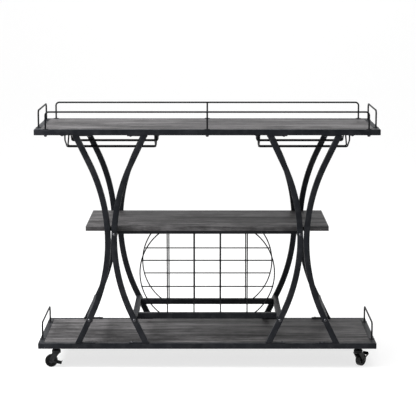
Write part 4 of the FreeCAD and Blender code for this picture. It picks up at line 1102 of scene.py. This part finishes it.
def make_castors():
    stems, nuts = Shape(), Shape()
    thread = [(3.55 + 0.45 * (k % 2), 65.0 + 0.55 * k) for k in range(20)]
    stem = lathe(np.array([(0, 48.2), (5.6, 48.2), (6, 48.7), (6, 49.3), (5.6, 49.7), (4, 49.75),
                           (4, 64.8)] + thread + [(3.2, 76.0), (0, 76.0)]) * MM, 24, 0.2)
    for name, (at, turn, trail, axle_z) in castor_places().items():
        spin, shift = spin_z(turn), (at[0], at[1], 0)
        tread, hub = wheel_shapes(trail, axle_z)
        for shape, part, material, body in (
                (fork_shape(trail, axle_z), "fork", "castor_metal", "swivel"),
                (axle_shape(trail, axle_z), "axle", "castor_metal", "swivel"),
                (tread, "tyre", "tread", "wheel"), (hub, "hub", "hub", "wheel")):
            node = "%s_%s" % (name, part)
            make(node + "_made", Shape().join(shape, spin, shift), material, node,
                 "%s_%s" % (name, body))
        stems.join(stem, spin, shift)
        nuts.join(hex_nut(13 * MM, 65.5 * MM, 72 * MM, 3.6 * MM), spin_z(turn + 9), shift)
    make("castor_stem_set", stems, "castor_metal", "castor_stems")
    make("castor_nut_set", nuts, "castor_metal", "castor_nuts")


def make_levers():
    """The front axles' stirrups, each at a slope in degrees; the left reaches under its stem."""
    for name, slope in (("front_left", -14), ("front_right", 27)):
        at, turn, trail, axle_z = castor_places()[name]
        way = turn + (180 if slope < 0 else 0)
        c, s = math.cos(math.radians(slope)), math.sin(math.radians(slope))
        tip = np.array([[c, 0, -s], [0, 1, 0], [s, 0, c]])
        axle = (at[0] + trail * math.cos(math.radians(turn)),
                at[1] + trail * math.sin(math.radians(turn)), axle_z)
        node = name + "_brake_lever"
        make(node + "_pressing", Shape().join(lever_shape(), spin_z(way) @ tip, axle),
             "castor_metal", node, name + "_brake")


make_frames()
make_boards()
make_legs()
make_bars()
for grid_face in FACES:
    make_grid(grid_face)
make_rails()
make_glass_rails()
make_leg_bolts()
make_frame_bolts()
make_rail_nuts()
make_screws()
make_castors()
make_levers()


# ---- Floor, light and camera ----

def make_stage():
    """Floor and backdrop in one sheet: level, then a quarter turn, then upright."""
    t = np.linspace(0, np.pi / 2, 12)
    reach, wall, bend, height = 9.0, 5.5, 1.5, 7.0
    curve = np.column_stack([wall - bend + bend * np.sin(t), bend * (1 - np.cos(t))])
    profile = np.vstack([[(-reach, 0.0)], curve, [(wall, height)]])
    grid = np.array([[(x, y, z) for x in (-reach, reach)] for y, z in profile])
    mesh = bpy.data.meshes.new("studio_sweep")
    mesh.from_pydata(grid.reshape(-1, 3).tolist(), [],
                     [tuple(map(int, f)) for f in grid_faces(len(profile), 2, wrap_cols=False)])
    mesh.polygons.foreach_set("use_smooth", [True] * len(mesh.polygons))
    mesh.materials.append(plain_stage("studio_white", (0.3, 0.3, 0.3)))
    placed("studio_sweep", mesh)


def area_light(name, at, aim, size, power):
    """A soft square light at a point, its -Z turned towards another."""
    data = bpy.data.lights.new(name, "AREA")
    data.shape, data.size, data.energy = "SQUARE", size, power
    axes = turn_to(np.subtract(at, aim))
    rows = [[*axes[k], at[k]] for k in range(3)] + [[0, 0, 0, 1]]
    placed(name, data).matrix_world = Matrix(rows)


make_stage()
for light in (("overhead", (0.0, -0.6, 4.2), (0, 0, 0.4), 3.6, 118),
              ("window_left", (-1.9, -0.4, 1.9), (-0.3, 0, 0.3), 1.1, 105),
              ("key_left", (-3.2, -3.6, 2.6), (0, 0, 0.5), 2.2, 26),
              ("fill_right", (3.4, -3.0, 1.8), (0, 0, 0.5), 2.6, 16)):
    area_light(*light)
world = bpy.data.worlds.new("studio_air")
world.use_nodes = True
air = world.node_tree.nodes["Background"]
air.inputs["Color"].default_value = (1.0, 1.0, 1.0, 1.0)
seen = put(world.node_tree, "ShaderNodeLightPath").outputs["Is Camera Ray"]
world.node_tree.links.new(ramp(world.node_tree, seen, (0.0, 0.38), (1.0, 0.95)),
                          air.inputs["Strength"])
bpy.context.scene.world = world
bpy.context.scene.view_settings.view_transform = "Standard"

camera = placed("camera", bpy.data.cameras.new("camera"))
camera.data.sensor_width = 36.0
camera.data.lens = 123.68
camera.location = (0.0027, -5.1012, 1.405)
camera.rotation_euler = (math.radians(80.449), 0.0, 0.0)
bpy.context.scene.camera = camera
